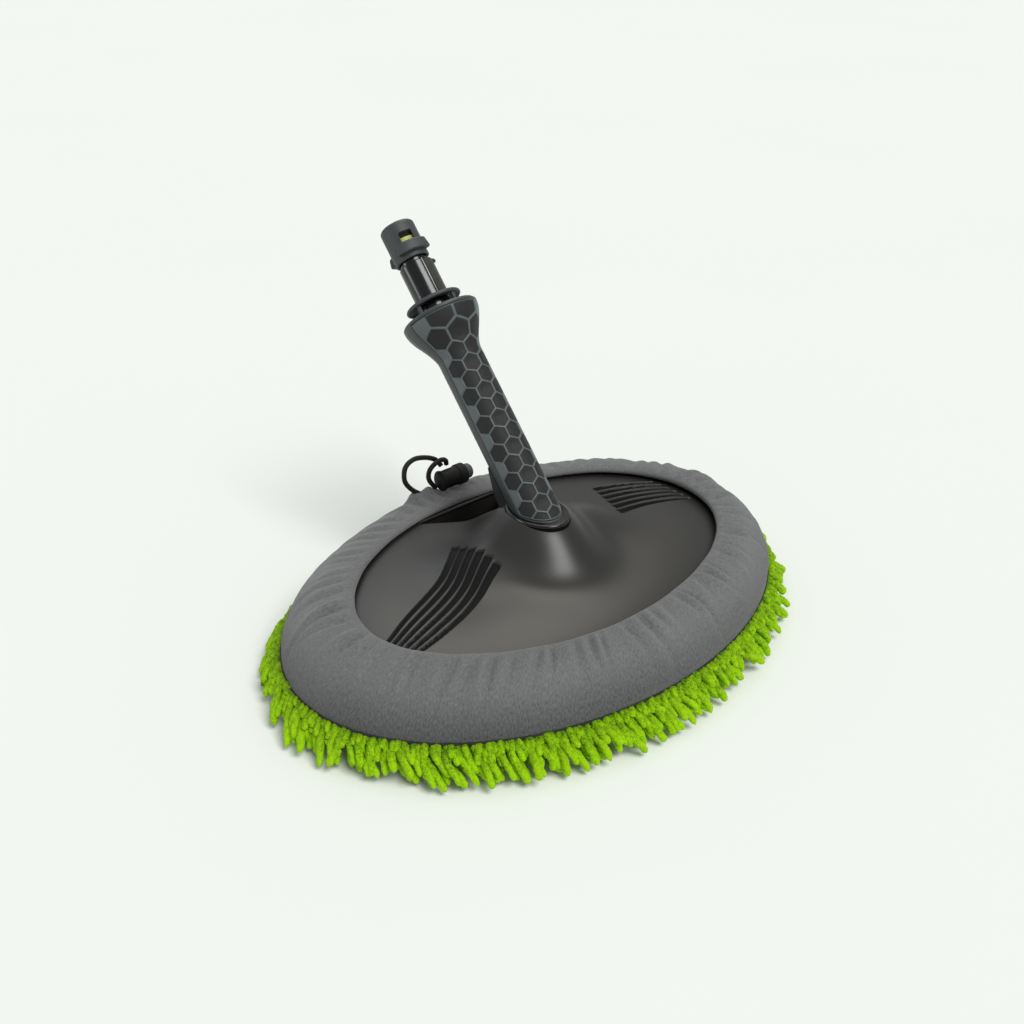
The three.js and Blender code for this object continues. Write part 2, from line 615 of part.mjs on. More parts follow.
place(part, "socket_trim", socketTrim(), "gloss");
place(part, "backing_plate", backingPlate(), "plate");
place(part, "water_elbow", waterElbow(), "clear");
place(part, "spray_manifold", sprayManifold(), "plate");
place(part, "manifold_seal", manifoldSeal(), "rubber");
screwPlaces.forEach((at, i) => place(part, `manifold_screw_${i + 1}`, manifoldScrew(at), "steel"));
place(part, "foam_pad", foamPad(), "foam");
place(part, "cover_band", coverBand(), "cover");
place(part, "hem_casing", hemCasing(), "cover");
place(part, "pad_backing", padBacking(), "cover");
place(part, "chenille_pile", chenillePile(), "pile");
place(part, "drawstring_outer", cord(OUTER_CORD), "cord");
place(part, "drawstring_inner", cord(INNER_CORD), "cord");
place(part, "cord_lock_body", inLock(lockBody()), "cord");
place(part, "cord_lock_button", inLock(lockButton()), "button");
place(part, "cord_lock_spring", inLock(lockSpring()), "steel");

export default part;
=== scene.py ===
# %% [markdown]
# # A wash mitt for a pressure-washer gun
# A stiff oval plate carries a long hollow handle, and the top of the handle twists into the gun.
# A stretch cover with a chenille pile is pulled over the plate and held by a drawstring.
# Shapes with a real size came from CAD. Here they get their looks: fine surfaces, cloth, pile and finishes.

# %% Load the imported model
import math
import bpy
import numpy as np
from mathutils import Matrix, Vector


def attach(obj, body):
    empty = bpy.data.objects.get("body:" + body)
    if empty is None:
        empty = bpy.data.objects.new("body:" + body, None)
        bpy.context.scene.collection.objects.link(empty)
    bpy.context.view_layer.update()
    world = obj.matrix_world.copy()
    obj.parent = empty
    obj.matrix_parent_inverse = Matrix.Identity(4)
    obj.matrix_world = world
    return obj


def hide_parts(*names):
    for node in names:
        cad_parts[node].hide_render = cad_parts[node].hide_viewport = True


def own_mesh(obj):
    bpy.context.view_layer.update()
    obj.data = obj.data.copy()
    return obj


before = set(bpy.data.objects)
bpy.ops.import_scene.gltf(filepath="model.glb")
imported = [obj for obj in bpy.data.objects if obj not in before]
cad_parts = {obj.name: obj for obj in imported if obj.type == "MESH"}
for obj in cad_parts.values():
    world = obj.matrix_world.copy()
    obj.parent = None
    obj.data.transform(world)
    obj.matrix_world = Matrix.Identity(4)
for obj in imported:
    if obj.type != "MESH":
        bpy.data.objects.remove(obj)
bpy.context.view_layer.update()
scene = bpy.context.scene

# %% [markdown]
# ## Camera
# A camera is placed by the point it looks at, how far away it is, and its two angles. That reads better
# than raw coordinates, and turning round the object later only changes one number.

# %% Camera
AIM = Vector((0.0146, 0.0406, 0.0549))
AWAY = 0.75
AZIMUTH = math.radians(-40.34)
ELEVATION = math.radians(30.58)


def toward_viewer(azimuth, elevation):
    level = math.cos(elevation)
    return Vector((math.sin(azimuth) * level, -math.cos(azimuth) * level, math.sin(elevation)))


back = toward_viewer(AZIMUTH, ELEVATION)
camera = bpy.data.objects.new("camera", bpy.data.cameras.new("camera"))
camera.data.lens = 42.19
camera.data.clip_start = 0.01
camera.location = AIM + back * AWAY
camera.rotation_euler = (-back).to_track_quat("-Z", "Y").to_euler()
scene.collection.objects.link(camera)
scene.camera = camera
scene.view_settings.view_transform = "Standard"
print("camera at", tuple(round(v, 3) for v in camera.location))

# %% [markdown]
# ## Shader arithmetic
# A finish is a sum of small patterns: grain, stains, wear. Written as Python expressions, those sums stay
# readable. One class wraps a node's output, so `1 - mask` adds a Math node. Another builds any other node.


# %% A socket that does arithmetic, and a finish that makes nodes
class Pattern:
    """One output of a shader node. Arithmetic on it adds the Math nodes that do the same sum."""

    def __init__(self, finish, socket):
        self.finish = finish
        self.socket = socket

    def math(self, operation, left, right):
        return self.finish.node("ShaderNodeMath", {"operation": operation}, {0: left, 1: right})

    def __add__(self, other):
        return self.math("ADD", self, other)

    def __sub__(self, other):
        return self.math("SUBTRACT", self, other)

    def __rsub__(self, other):
        return self.math("SUBTRACT", other, self)

    def __mul__(self, other):
        return self.math("MULTIPLY", self, other)

    __radd__ = __add__
    __rmul__ = __mul__


class Finish:
    """A material on one Principled surface. The words after the name are that surface's plain values."""

    def __init__(self, name, **plain):
        self.material = bpy.data.materials.new(name)
        self.material.use_nodes = True
        self.tree = self.material.node_tree
        self.surface = self.tree.nodes["Principled BSDF"]
        for word, value in plain.items():
            self.surface.inputs[word.replace("_", " ")].default_value = value

    def feed(self, socket, value):
        if isinstance(value, Pattern):
            self.tree.links.new(value.socket, socket)
        else:
            socket.default_value = value

    def node(self, kind, settings=None, sockets=None, out=0):
        made = self.tree.nodes.new(kind)
        for word, value in (settings or {}).items():
            if word == "stops":
                for stop, (place, shade) in zip(made.color_ramp.elements, value):
                    stop.position = place
                    stop.color = (shade, shade, shade, 1)
            else:
                setattr(made, word, value)
        for place, value in (sockets or {}).items():
            self.feed(made.inputs[place], value)
        return Pattern(self, made.outputs[out])

    def coordinates(self, kind="Object"):
        return self.node("ShaderNodeTexCoord", out=kind)

    def stretched(self, scale, kind="Object"):
        return self.node("ShaderNodeMapping", None, {"Vector": self.coordinates(kind), "Scale": scale})

    def noise(self, size, detail=2.0, where=None):
        """Cloudy noise whose lumps are about size metres across."""
        sockets = {"Scale": 1 / size, "Detail": detail, "Vector": where or self.coordinates()}
        return self.node("ShaderNodeTexNoise", None, sockets)

    def steps(self, value, low, high):
        """0 below low, 1 above high, and a straight ramp between."""
        return self.node("ShaderNodeValToRGB", {"stops": ((low, 0), (high, 1))}, {0: value})

    def blend(self, share, under, over):
        sockets = {0: share, 6: under, 7: over}
        return self.node("ShaderNodeMix", {"data_type": "RGBA"}, sockets, out=2)

    def mask(self, name):
        """A number that the mesh carries at its points."""
        return self.node("ShaderNodeAttribute", {"attribute_name": name}, None, out="Fac")

    def shade(self, colour=None, roughness=None, height=None, depth=0.0001):
        if colour is not None:
            self.feed(self.surface.inputs["Base Color"], colour)
        if roughness is not None:
            self.feed(self.surface.inputs["Roughness"], roughness)
        if height is not None:
            bump = self.node("ShaderNodeBump", None, {"Height": height, "Distance": depth})
            self.feed(self.surface.inputs["Normal"], bump)
        return self


def paint(hexa):
    """A colour from its usual six-letter code, turned into the linear values that shaders use."""
    parts = [int(hexa[i : i + 2], 16) / 255 for i in (0, 2, 4)]
    return tuple(p / 12.92 if p < 0.04045 else ((p + 0.055) / 1.055) ** 2.4 for p in parts) + (1,)


print("shader helpers are ready")

# %% [markdown]
# ## Finishes
# Most of this tool is moulded plastic. A mould leaves a fine grain, and handling leaves slightly smoother
# and duller patches, so one recipe with a colour, a gloss and a grain size covers every moulding.


# %% Moulded plastics
def moulded(name, dark, light, gloss, grain=0.0005, depth=0.00002, **plain):
    finish = Finish(name, **plain)
    patches = finish.steps(finish.noise(0.018, 3), 0.35, 0.7)
    speckle = finish.noise(grain, 4)
    return finish.shade(
        finish.blend(patches * 0.6 + speckle * 0.4, paint(dark), paint(light)),
        gloss + patches * 0.08 + speckle * 0.06,
        speckle,
        depth,
    )


sleeve_plastic = moulded("sleeve_plastic", "303336", "3d4144", 0.5, 0.0004, 0.00004)
insert_plastic = moulded("insert_plastic", "a9ad4e", "c4c66e", 0.4)
barrel_gloss = moulded("barrel_gloss", "030304", "070708", 0.14, depth=0.000006)
rail_plastic = moulded("rail_plastic", "2b2c27", "393a34", 0.34)
shell_plastic = moulded("shell_plastic", "2c3235", "363d40", 0.36, depth=0.00001)
# Painted shade: this navy-black stands for the brace's shadow behind the handle, with a painted blue
# reflection; the hidden spray manifold shares the finish.
neck_plastic = moulded("neck_plastic", "06080b", "0c0f14", 0.38)
tube_plastic = moulded("tube_plastic", "b3b8ba", "cdd2d4", 0.25)
lock_plastic = moulded("lock_plastic", "020202", "050505", 0.6, 0.0004, 0.00004, Specular_IOR_Level=0.3)
button_plastic = moulded("button_plastic", "34363a", "484a4e", 0.45, 0.0004, 0.00004)
seal_rubber = moulded("seal_rubber", "060606", "0c0c0c", 0.6)
print("ten moulded finishes")

# %% [markdown]
# The screws are bright steel with the faint rings of turning, and the foam is full of open pores.
# A pore is a spot where a cell pattern falls low, so the same pattern sinks it and darkens it with painted
# shade.

# %% Steel and foam
screw_steel = Finish("screw_steel", Metallic=1.0)
rings = screw_steel.noise(0.0006, 2, screw_steel.stretched((1, 1, 12)))
screw_steel.shade(screw_steel.blend(rings, paint("8a8c8e"), paint("c4c6c8")), 0.2 + rings * 0.2, rings)

foam_black = Finish("foam_black", Roughness=0.95)
pores = foam_black.node("ShaderNodeTexVoronoi", None, {"Scale": 700, "Vector": foam_black.coordinates()})
# Painted shade: the pores are darker than the foam around them.
foam_black.shade(foam_black.blend(pores, paint("020202"), paint("161616")), None, pores, 0.0006)
print("steel and foam")

# %% [markdown]
# The grips and the plate carry two tones each: the raised hexagon lines catch dust and wear to a lighter
# grey, and the channels of the plate and the walls of its bay are painted near black as painted shade. The
# meshes made below carry a number at each point, `line` or the painted shade mask, and these finishes read
# it.

# %% Grip rubber and plate plastic
grip_rubber = Finish("grip_rubber")
line = grip_rubber.mask("line")
speckle = grip_rubber.noise(0.0005, 4)
cells = grip_rubber.blend(speckle, paint("0c0c0d"), paint("161617"))
lines = grip_rubber.blend(speckle, paint("454c4e"), paint("5e6668"))
grip_rubber.shade(
    grip_rubber.blend(line, cells, lines),
    0.62 - line * 0.24 + speckle * 0.1,
    speckle,
    0.00003,
)

plate_plastic = Finish("plate_plastic")
painted_recess_shade = plate_plastic.mask("painted_recess_shade")
cloud = plate_plastic.noise(0.05, 3)
speckle = plate_plastic.noise(0.0006, 3)
body_tone = plate_plastic.blend(cloud * 0.7 + speckle * 0.3, paint("1c1b19"), paint("272522"))
# Painted shade: the recess mask blends the plate to near black in its channels and bay, and makes it rougher
# there.
plate_plastic.shade(
    plate_plastic.blend(painted_recess_shade, body_tone, paint("020202")),
    0.34 + cloud * 0.08 + painted_recess_shade * 0.7,
    speckle,
    0.000012,
)
print("two-tone finishes")

# %% [markdown]
# The cover is a brushed knit: columns of small loops run down from the lip, with a short nap over them.
# The cloth's own map is in metres, so the columns keep their width all round. Sheen gives the soft edge
# that a nap has against the light.

# %% Cover knit
cover_knit = Finish("cover_knit", Roughness=0.95, Sheen_Weight=0.2, Sheen_Roughness=0.5)
painted_low_shade = cover_knit.mask("painted_low_shade")
loops = cover_knit.noise(0.0007, 2, cover_knit.stretched((1, 0.3, 1), "UV"))
nap = cover_knit.noise(0.0005, 3)
worn = cover_knit.noise(0.03, 3)
fleck = cover_knit.steps(loops * 0.6 + nap * 0.4, 0.36, 0.66)
# The lower half of the strip, towards the seam, is darkened here with painted shade.
cover_knit.shade(
    cover_knit.blend(fleck * 0.42 + worn * 0.16 - painted_low_shade * 0.4 + 0.32, paint("363637"), paint("808081")),
    None,
    loops * 0.7 + nap * 0.5,
    0.0006,
)
seam_thread = moulded("seam_thread", "1a1a1c", "2c2c30", 0.8, 0.0006, 0.0003)
print("cover knit")

# %% [markdown]
# Chenille is a core yarn with a thick fur of microfibre. Its colour goes from a deep green in the gaps,
# where the light is lost, to a yellow lime on the tips. Each noodle carries its own tint.

# %% Chenille and drawstring
chenille = Finish("chenille", Roughness=0.8, Specular_IOR_Level=0.2)
tip = chenille.mask("tip")
tint = chenille.mask("tint")
fur = chenille.noise(0.0007, 3)
tufts = chenille.noise(0.0022, 2)
lit = chenille.steps(fur * 0.4 + tufts * 0.3 + tip * 0.3, 0.34, 0.6)
green = chenille.blend(lit, paint("1c4a00"), paint("9ad000"))
chenille.shade(chenille.blend(tint * 0.25, green, paint("b0d800")), None, fur * 0.6 + tufts, 0.0009)

drawstring = Finish("drawstring", Roughness=0.75)
braid = drawstring.node(
    "ShaderNodeTexWave",
    {"bands_direction": "DIAGONAL"},
    {"Scale": 420.0, "Distortion": 1.5, "Vector": drawstring.coordinates()},
)
drawstring.shade(drawstring.blend(braid, paint("020202"), paint("0e0e0f")), None, braid, 0.0002)
print("chenille and drawstring")

# %% [markdown]
# ## Mesh helpers
# Nearly every piece here is a loft: a row of closed rings with quads between them. Numpy works out all the
# points at once, and one function makes the mesh, turns its faces outward and names its map.


# %% Lofts and profiles
def quads_between(count, around, joined):
    """Row and column numbers of each quad's corners, before they wrap round."""
    rows, columns = np.meshgrid(np.arange(count if joined else count - 1), np.arange(around), indexing="ij")
    rows = np.stack([rows, rows, rows + 1, rows + 1], -1).reshape(-1, 4)
    columns = np.stack([columns, columns + 1, columns + 1, columns], -1).reshape(-1, 4)
    return rows, columns


def lofted(name, rings, joined=False, place=None, cloth_map=None):
    """A closed surface through rings, an array of (ring, point, xyz). Its ends are capped or joined."""
    rings = np.asarray(rings, float)
    count, around = rings.shape[:2]
    points = rings.reshape(-1, 3)
    rows, columns = quads_between(count, around, joined)
    quads = (rows % count) * around + columns % around
    a, b, c, d = (points[quads[:, k]] for k in range(4))
    volume = (a * np.cross(b, c)).sum() + (a * np.cross(c, d)).sum()
    if volume < 0:
        quads, rows, columns = quads[:, ::-1], rows[:, ::-1], columns[:, ::-1]
    faces = quads.tolist()
    if not joined:
        ends = [list(range(around)), list(range((count - 1) * around, count * around))]
        ends[0 if volume >= 0 else 1].reverse()
        faces += ends
    mesh = bpy.data.meshes.new(name)
    mesh.from_pydata(points.tolist(), [], faces)
    if cloth_map:
        along, down = cloth_map
        corners = np.stack([along[columns], down[rows % count]], -1).reshape(-1, 2)
        mesh.uv_layers.new(name="cloth").data.foreach_set("uv", corners.ravel())
    mesh.shade_smooth()
    piece = bpy.data.objects.new(name, mesh)
    scene.collection.objects.link(piece)
    if place is not None:
        piece.matrix_world = place
    return piece


def rounded(profile, radius, closed=True, steps=4):
    """The same outline with each corner turned into a small curve."""
    corners = [Vector(p) for p in profile]
    out = []
    for k, corner in enumerate(corners):
        if not closed and k in (0, len(corners) - 1):
            out.append(corner)
            continue
        before = corners[k - 1] - corner
        after = corners[(k + 1) % len(corners)] - corner
        reach = min(radius, before.length * 0.45, after.length * 0.45)
        start, stop = before.normalized() * reach, after.normalized() * reach
        out += [corner + start * (1 - t) ** 2 + stop * t**2 for t in np.linspace(0, 1, steps + 1)]
    return np.array([tuple(p) for p in out])


SHARP_FROM = math.radians(34)


def crisp(piece):
    """Keeps broad faces flat in the shading, so only the small rounds catch the light."""
    piece.data.set_sharp_from_angle(angle=SHARP_FROM)
    piece.modifiers.new("even_shading", "WEIGHTED_NORMAL").keep_sharp = True
    return piece


def turned(name, profile, radius=0.0004, solid=False, steps=96, place=None):
    """A piece turned about Z. A solid one has flat ends on the axis; any other outline closes on itself."""
    outline = rounded(profile, radius, closed=not solid)
    turn = np.arange(steps) * 2 * math.pi / steps
    across, height = outline[:, 0, None], outline[:, 1, None]
    rings = np.stack([across * np.cos(turn), across * np.sin(turn), height + 0 * turn], -1)
    return crisp(lofted(name, rings, joined=not solid, place=place))


print("loft helpers are ready")

# %% [markdown]
# Every piece is finished in the same way: it takes a finish, rides on the body that moves it,
# and stands for the plain CAD solids it covers. Booleans cut real windows and holes.


# %% Settling and cutting pieces
def settle(piece, finish, slot, *stands_for, body="mitt"):
    piece.data.materials.append(finish.material)
    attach(piece, body)
    if stands_for:
        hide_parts(*stands_for)
    count = len(piece.data.vertices) if piece.type == "MESH" else len(piece.data.splines[0].points)
    print(f"{piece.name}: {count} points, stands for {', '.join(stands_for) or 'nothing'}")
    return piece


def carve(piece, tool, operation="DIFFERENCE"):
    """Cuts tool out of piece, or joins it on, and throws the tool away."""
    cut = piece.modifiers.new("carve", "BOOLEAN")
    cut.object = tool
    cut.operation = operation
    cut.solver = "EXACT"
    bpy.context.view_layer.update()
    shaped = bpy.data.meshes.new_from_object(piece.evaluated_get(bpy.context.evaluated_depsgraph_get()))
    piece.modifiers.clear()
    piece.data = shaped
    bpy.data.objects.remove(tool)
    return piece


def carry(piece, name, values):
    """Stores one number for each point of the piece's mesh, for its finish to read."""
    piece.data.attributes.new(name, "FLOAT", "POINT").data.foreach_set("value", np.ravel(values))


def ease(value, low, high):
    """0 below low, 1 above high, and a smooth rise between."""
    share = np.clip((value - low) / (high - low), 0, 1)
    return share * share * (3 - 2 * share)


print("piece helpers are ready")

# %% [markdown]
# ## Drawstring
# Both free stretches of the drawstring leave the hem and run to the cord lock, where they end just short of
# its wall. They are cords of a fixed length, so their route is a short list of given points, the
# same as in CAD, with a smooth curve through them. A curve object with a round bevel is easy to change.

# %% The two free stretches
CORD_RADIUS = 0.0016
OUTER_CORD = [
    (-0.018, 0.094, 0.0572), (-0.0215, 0.0945, 0.06), (-0.025, 0.095, 0.064), (-0.0275, 0.095, 0.0685),
    (-0.028, 0.095, 0.073), (-0.0268, 0.0955, 0.0772), (-0.0235, 0.096, 0.08), (-0.0185, 0.0965, 0.081),
    (-0.0135, 0.0973, 0.0799), (-0.0085, 0.0982, 0.078), (-0.004, 0.099, 0.0757), (0.0002, 0.0988, 0.0729),
    (0.0023, 0.0965, 0.069),
]
INNER_CORD = [
    (-0.0055, 0.0925, 0.0574), (-0.0075, 0.093, 0.06), (-0.0096, 0.0933, 0.0633), (-0.0103, 0.0935, 0.0668),
    (-0.009, 0.094, 0.0702), (-0.006, 0.0943, 0.0727), (-0.0022, 0.0946, 0.074), (0.002, 0.0949, 0.0742),
    (0.0052, 0.0956, 0.0722), (0.0064, 0.0965, 0.069),
]


def smooth_route(points, between=5):
    """Points on a smooth curve that passes through all the given ones."""
    given = np.array(points)
    ends = np.vstack([2 * given[0] - given[1], given, 2 * given[-1] - given[-2]])
    share = np.linspace(0, 1, between, endpoint=False)[:, None]
    out = []
    for p, q, r, s in zip(ends, ends[1:], ends[2:], ends[3:]):
        bend = 2 * p - 5 * q + 4 * r - s
        twist = 3 * q - p - 3 * r + s
        out.append(q + share * ((r - p) + share * (bend + share * twist)) / 2)
    return np.vstack(out + [given[-1:]])


def cord_piece(name, points, node):
    route = smooth_route(points)
    curve = bpy.data.curves.new(name, "CURVE")
    curve.dimensions = "3D"
    curve.bevel_depth = CORD_RADIUS
    curve.bevel_resolution = 5
    curve.use_fill_caps = True
    spline = curve.splines.new("POLY")
    spline.points.add(len(route) - 1)
    spline.points.foreach_set("co", np.hstack([route, np.ones((len(route), 1))]).ravel())
    cord = bpy.data.objects.new(name, curve)
    scene.collection.objects.link(cord)
    settle(cord, drawstring, "drawstring", node)


cord_piece("cord_outer", OUTER_CORD, "drawstring_outer")
cord_piece("cord_inner", INNER_CORD, "drawstring_inner")

# %% [markdown]
# ## Floor and light
# A pale floor and a soft studio: an even sky, one broad key from high in front, and three panels that
# only draw highlights on the plastic. The panels give no diffuse light, so the cloth and floor stay even.

# %% Floor, sky and lights
FLOOR_REACH = 20.0
floor_mesh = bpy.data.meshes.new("floor")
edge = FLOOR_REACH / 2
corners = [(-edge, -edge, 0), (edge, -edge, 0), (edge, edge, 0), (-edge, edge, 0)]
floor_mesh.from_pydata(corners, [], [(0, 1, 2, 3)])
floor = bpy.data.objects.new("floor", floor_mesh)
scene.collection.objects.link(floor)
pale = Finish("pale_floor", Roughness=1.0, Specular_IOR_Level=0.0)
pale.shade(pale.blend(pale.noise(0.4, 2), paint("f4f6f2"), paint("f6f8f4")))
floor_mesh.materials.append(pale.material)

sky = bpy.data.worlds.new("sky")
sky.use_nodes = True
sky.node_tree.nodes["Background"].inputs["Color"].default_value = (0.97, 1.0, 0.98, 1)
sky.node_tree.nodes["Background"].inputs["Strength"].default_value = 0.45
scene.world = sky


def lamp(name, kind, azimuth, elevation, power, colour=(1, 1, 1), away=1.0, **settings):
    """A light that shines at the object. An area panel shows only in reflections."""
    light = bpy.data.lights.new(name, kind)
    light.energy = power
    light.color = colour
    for word, value in settings.items():
        setattr(light, word, value)
    obj = bpy.data.objects.new(name, light)
    direction = toward_viewer(math.radians(azimuth), math.radians(elevation))
    obj.location = AIM + direction * away
    obj.rotation_euler = direction.to_track_quat("Z", "Y").to_euler()
    obj.visible_diffuse = kind != "AREA"
    scene.collection.objects.link(obj)


lamp("key", "SUN", 0, 56, 2.1, angle=math.radians(30))
lamp("warm_panel", "AREA", 142, 58, 5.0, (1.0, 0.95, 0.86), 1.1, size=0.65)
lamp("cool_panel", "AREA", 176, 38, 0.9, (0.78, 0.9, 1.0), 1.1, size=0.55)
lamp("edge_panel", "AREA", -120, 12, 1.2, (0.9, 0.95, 1.0), 1.0, size=0.25)
print("floor, sky and four lights")

# %% [markdown]
# ## Handle
# The handle leans back from the plate, so its pieces are drawn upright in their own frame: Z along the
# handle and -Y at its front. A matrix then puts them in place. Stations are distances along that axis.
# The foot is cut level, so along the handle's own axis its front reaches further down than its back.

# %% The handle's frame and outline
TILT = math.radians(43)
HANDLE_ROOT_Z = 0.0777
HANDLE = Matrix.Translation((0, 0, HANDLE_ROOT_Z)) @ Matrix.Rotation(-TILT, 4, "X")
ROLL = -math.radians(12)
HALVES = HANDLE @ Matrix.Rotation(ROLL, 4, "Z")
GAP = 0.0003
FLARE_START, FLARE_END = 0.104, 0.1324
SHELL_FOOT_Z, GRIP_FOOT_Z = 0.078, 0.0813
SHAFT_RADIUS, FLARE_RADIUS = 0.0137, 0.0238
GRIP_HALF = math.radians(72)
GRIP_THICKNESS = 0.0015
SHELL_WALL = 0.0022
RIM_ROUND = 0.001
GRIP_TOP = FLARE_END - 0.0028
LOWEST = -0.018


def handle_radius(station):
    share = np.clip((station - FLARE_START) / (FLARE_END - 0.003 - FLARE_START), 0, 1)
    rise = share + (share * share * (3 - 2 * share) - share) * 0.75
    return SHAFT_RADIUS + (FLARE_RADIUS - SHAFT_RADIUS) * rise


def level_cut(z, turn, facing):
    """The station where a level cut at height z meets the handle's surface."""
    forward = SHAFT_RADIUS * np.cos(turn + facing + ROLL)
    return (z - HANDLE.translation.z - math.sin(TILT) * forward) / math.cos(TILT)


def around_handle(radius, turn, facing):
    return np.stack([radius * np.sin(turn + facing), -radius * np.cos(turn + facing)], -1)


print("flare radius", FLARE_RADIUS, "m at", FLARE_END, "m up the handle")

# %% [markdown]
# The grip's pattern is a hexagon lattice. A point's distance to the nearest cell edge is simple maths:
# inside a hexagon it is half the pitch less the largest of three projections. The lattice is drawn in
# turned angle and travelled length, and both grow with the radius, so the cells swell along the flare.
# The columns at both sides of the grip are left flat, with only a border line.

# %% Hexagon relief
CELL_TURN = math.radians(46)
PITCH = SHAFT_RADIUS * CELL_TURN
ROW = 0.0092
CELL_START = 0.0218
LINE_HALF = 0.0003
LINE_SLOPE = 0.00045
CELL_DEPTH = 0.0006
DIMPLE_DEPTH, DIMPLE_WIDE, DIMPLE_LONG = 0.0009, 0.0033, 0.0036
FLAT_FROM = 1.2  # columns this far from the middle one, and further, have no cells
fine_stations = np.linspace(LOWEST, FLARE_END, 1500)
swelling = (SHAFT_RADIUS / handle_radius(fine_stations)) ** 0.6
travelled = np.cumsum(swelling) * (fine_stations[1] - fine_stations[0])


def hexagons(turn, station):
    """The distance to the nearest cell edge, and how near the middle of a front cell the point is."""
    across = turn / CELL_TURN * PITCH
    along = np.interp(station, fine_stations, travelled) - CELL_START
    best = np.full(np.broadcast(across, along).shape, -1.0)
    middle = np.zeros(best.shape)
    for nearby in (0, 1):
        row = np.floor(along / ROW) + nearby
        shift = (row % 2) * 0.5
        cell = np.round(across / PITCH - shift) + shift
        x, y = across - cell * PITCH, along - row * ROW
        slanted = np.abs(x) / 2 + np.abs(y) * PITCH * 0.75 / ROW
        inside = PITCH / 2 - np.maximum(np.abs(x), slanted)
        inside = np.where(np.abs(cell) < FLAT_FROM, inside, np.minimum(inside, 0))
        nearer = inside > best
        from_middle = (x / DIMPLE_WIDE) ** 2 + (y / DIMPLE_LONG) ** 2
        front = (np.abs(cell) < 0.1) * np.exp(-from_middle ** 2)
        best = np.where(nearer, inside, best)
        middle = np.where(nearer, front, middle)
    return best, middle


print("hexagon pitch", round(PITCH * 1000, 2), "mm, rows", round(ROW * 1000, 2), "mm")

# %% [markdown]
# A half of the handle is two pieces: the moulded shell, which shows as a satin strip down each side, and
# the soft grip let into it. Both are lofts whose rings are slices at one angle, and each slice starts at
# the level cut, so the slanted foot needs no boolean.


# %% Shells and grips
def slices(turns, facing, foot, top, stand_off, wall, rows):
    """Closed slices through a skin: up the outside at each angle and back down the inside."""
    share = np.linspace(0, 1, rows)
    rings = []
    for turn in turns:
        low = level_cut(foot, turn, facing)
        station = low + (top - low) * share
        outside = handle_radius(station) + stand_off(turn, station, facing)
        back_down = station[:: -max(1, rows // 40)]
        inside = handle_radius(back_down) - GRIP_THICKNESS - wall
        outer = np.hstack([around_handle(outside, turn, facing), station[:, None]])
        inner = np.hstack([around_handle(inside, turn, facing), back_down[:, None]])
        rings.append(np.vstack([outer, inner]))
    return rings


def shell_surface(turn, station, facing):
    """The shell is full size at its sides and below the grip's toe, and lower under the grip."""
    under_grip = np.minimum(station - level_cut(GRIP_FOOT_Z, turn, facing), GRIP_TOP - station)
    seat = ease(under_grip, -0.0006, -0.0002) * (abs(turn) < GRIP_HALF)
    ends = np.minimum(station - station[0], FLARE_END - station)
    corner = RIM_ROUND * (1 - ease(ends, 0, 0.0012))
    return -(GRIP_THICKNESS + GAP) * seat - corner


def grip_relief(turn, station, facing):
    """How far the grip stands off its full size, and how much of a raised line each point is."""
    inside, middle = hexagons(turn, station)
    edge_side = (GRIP_HALF - abs(turn)) * SHAFT_RADIUS
    edge_foot = (station - level_cut(GRIP_FOOT_Z, turn, facing)) * 0.75
    border = np.minimum(np.minimum(edge_side, edge_foot), GRIP_TOP - station)
    sunk = ease(np.minimum(inside, border), LINE_HALF, LINE_HALF + LINE_SLOPE)
    lip = 0.0004 * (1 - ease(border, 0, 0.0004))
    return -CELL_DEPTH * sunk - DIMPLE_DEPTH * middle - lip, 1 - sunk


def grip_surface(turn, station, facing):
    return grip_relief(turn, station, facing)[0]


def handle_half(name, facing, cad_shell, cad_grip):
    edge = math.pi / 2 - 0.008
    side = np.linspace(-edge, -GRIP_HALF, 16)
    under = np.linspace(-GRIP_HALF + 0.004, GRIP_HALF - 0.004, 60)
    turns = np.concatenate([side, under, -side[::-1]])
    rings = slices(turns, facing, SHELL_FOOT_Z, FLARE_END, shell_surface, SHELL_WALL, 260)
    settle(lofted(f"{name}_shell", rings, place=HALVES), shell_plastic, "shell_plastic", cad_shell)

    turns = np.linspace(-GRIP_HALF + 0.022, GRIP_HALF - 0.022, 121)
    rows = 420
    rings = slices(turns, facing, GRIP_FOOT_Z, GRIP_TOP, grip_surface, 0, rows)
    hexed = lofted(f"{name}_hexed_grip", rings, place=HALVES)
    share = np.linspace(0, 1, rows)
    masks = []
    for t in turns:
        low = level_cut(GRIP_FOOT_Z, t, facing)
        lines = grip_relief(t, low + (GRIP_TOP - low) * share, facing)[1]
        masks.append(np.concatenate([lines, np.zeros(len(rings[0]) - rows)]))
    carry(hexed, "line", masks)
    settle(hexed, grip_rubber, "grip_rubber", cad_grip)


handle_half("front", 0, "handle_front_shell", "front_grip")
handle_half("rear", math.pi, "handle_rear_shell", "rear_grip")

# %% [markdown]
# ## Foot of the handle
# The handle stands in a glossy level ring, with a brace behind it that takes the bending. The brace's
# navy-black is painted shade with a painted blue reflection. The brace is a flat outline given a width,
# with its edges bevelled by a modifier.

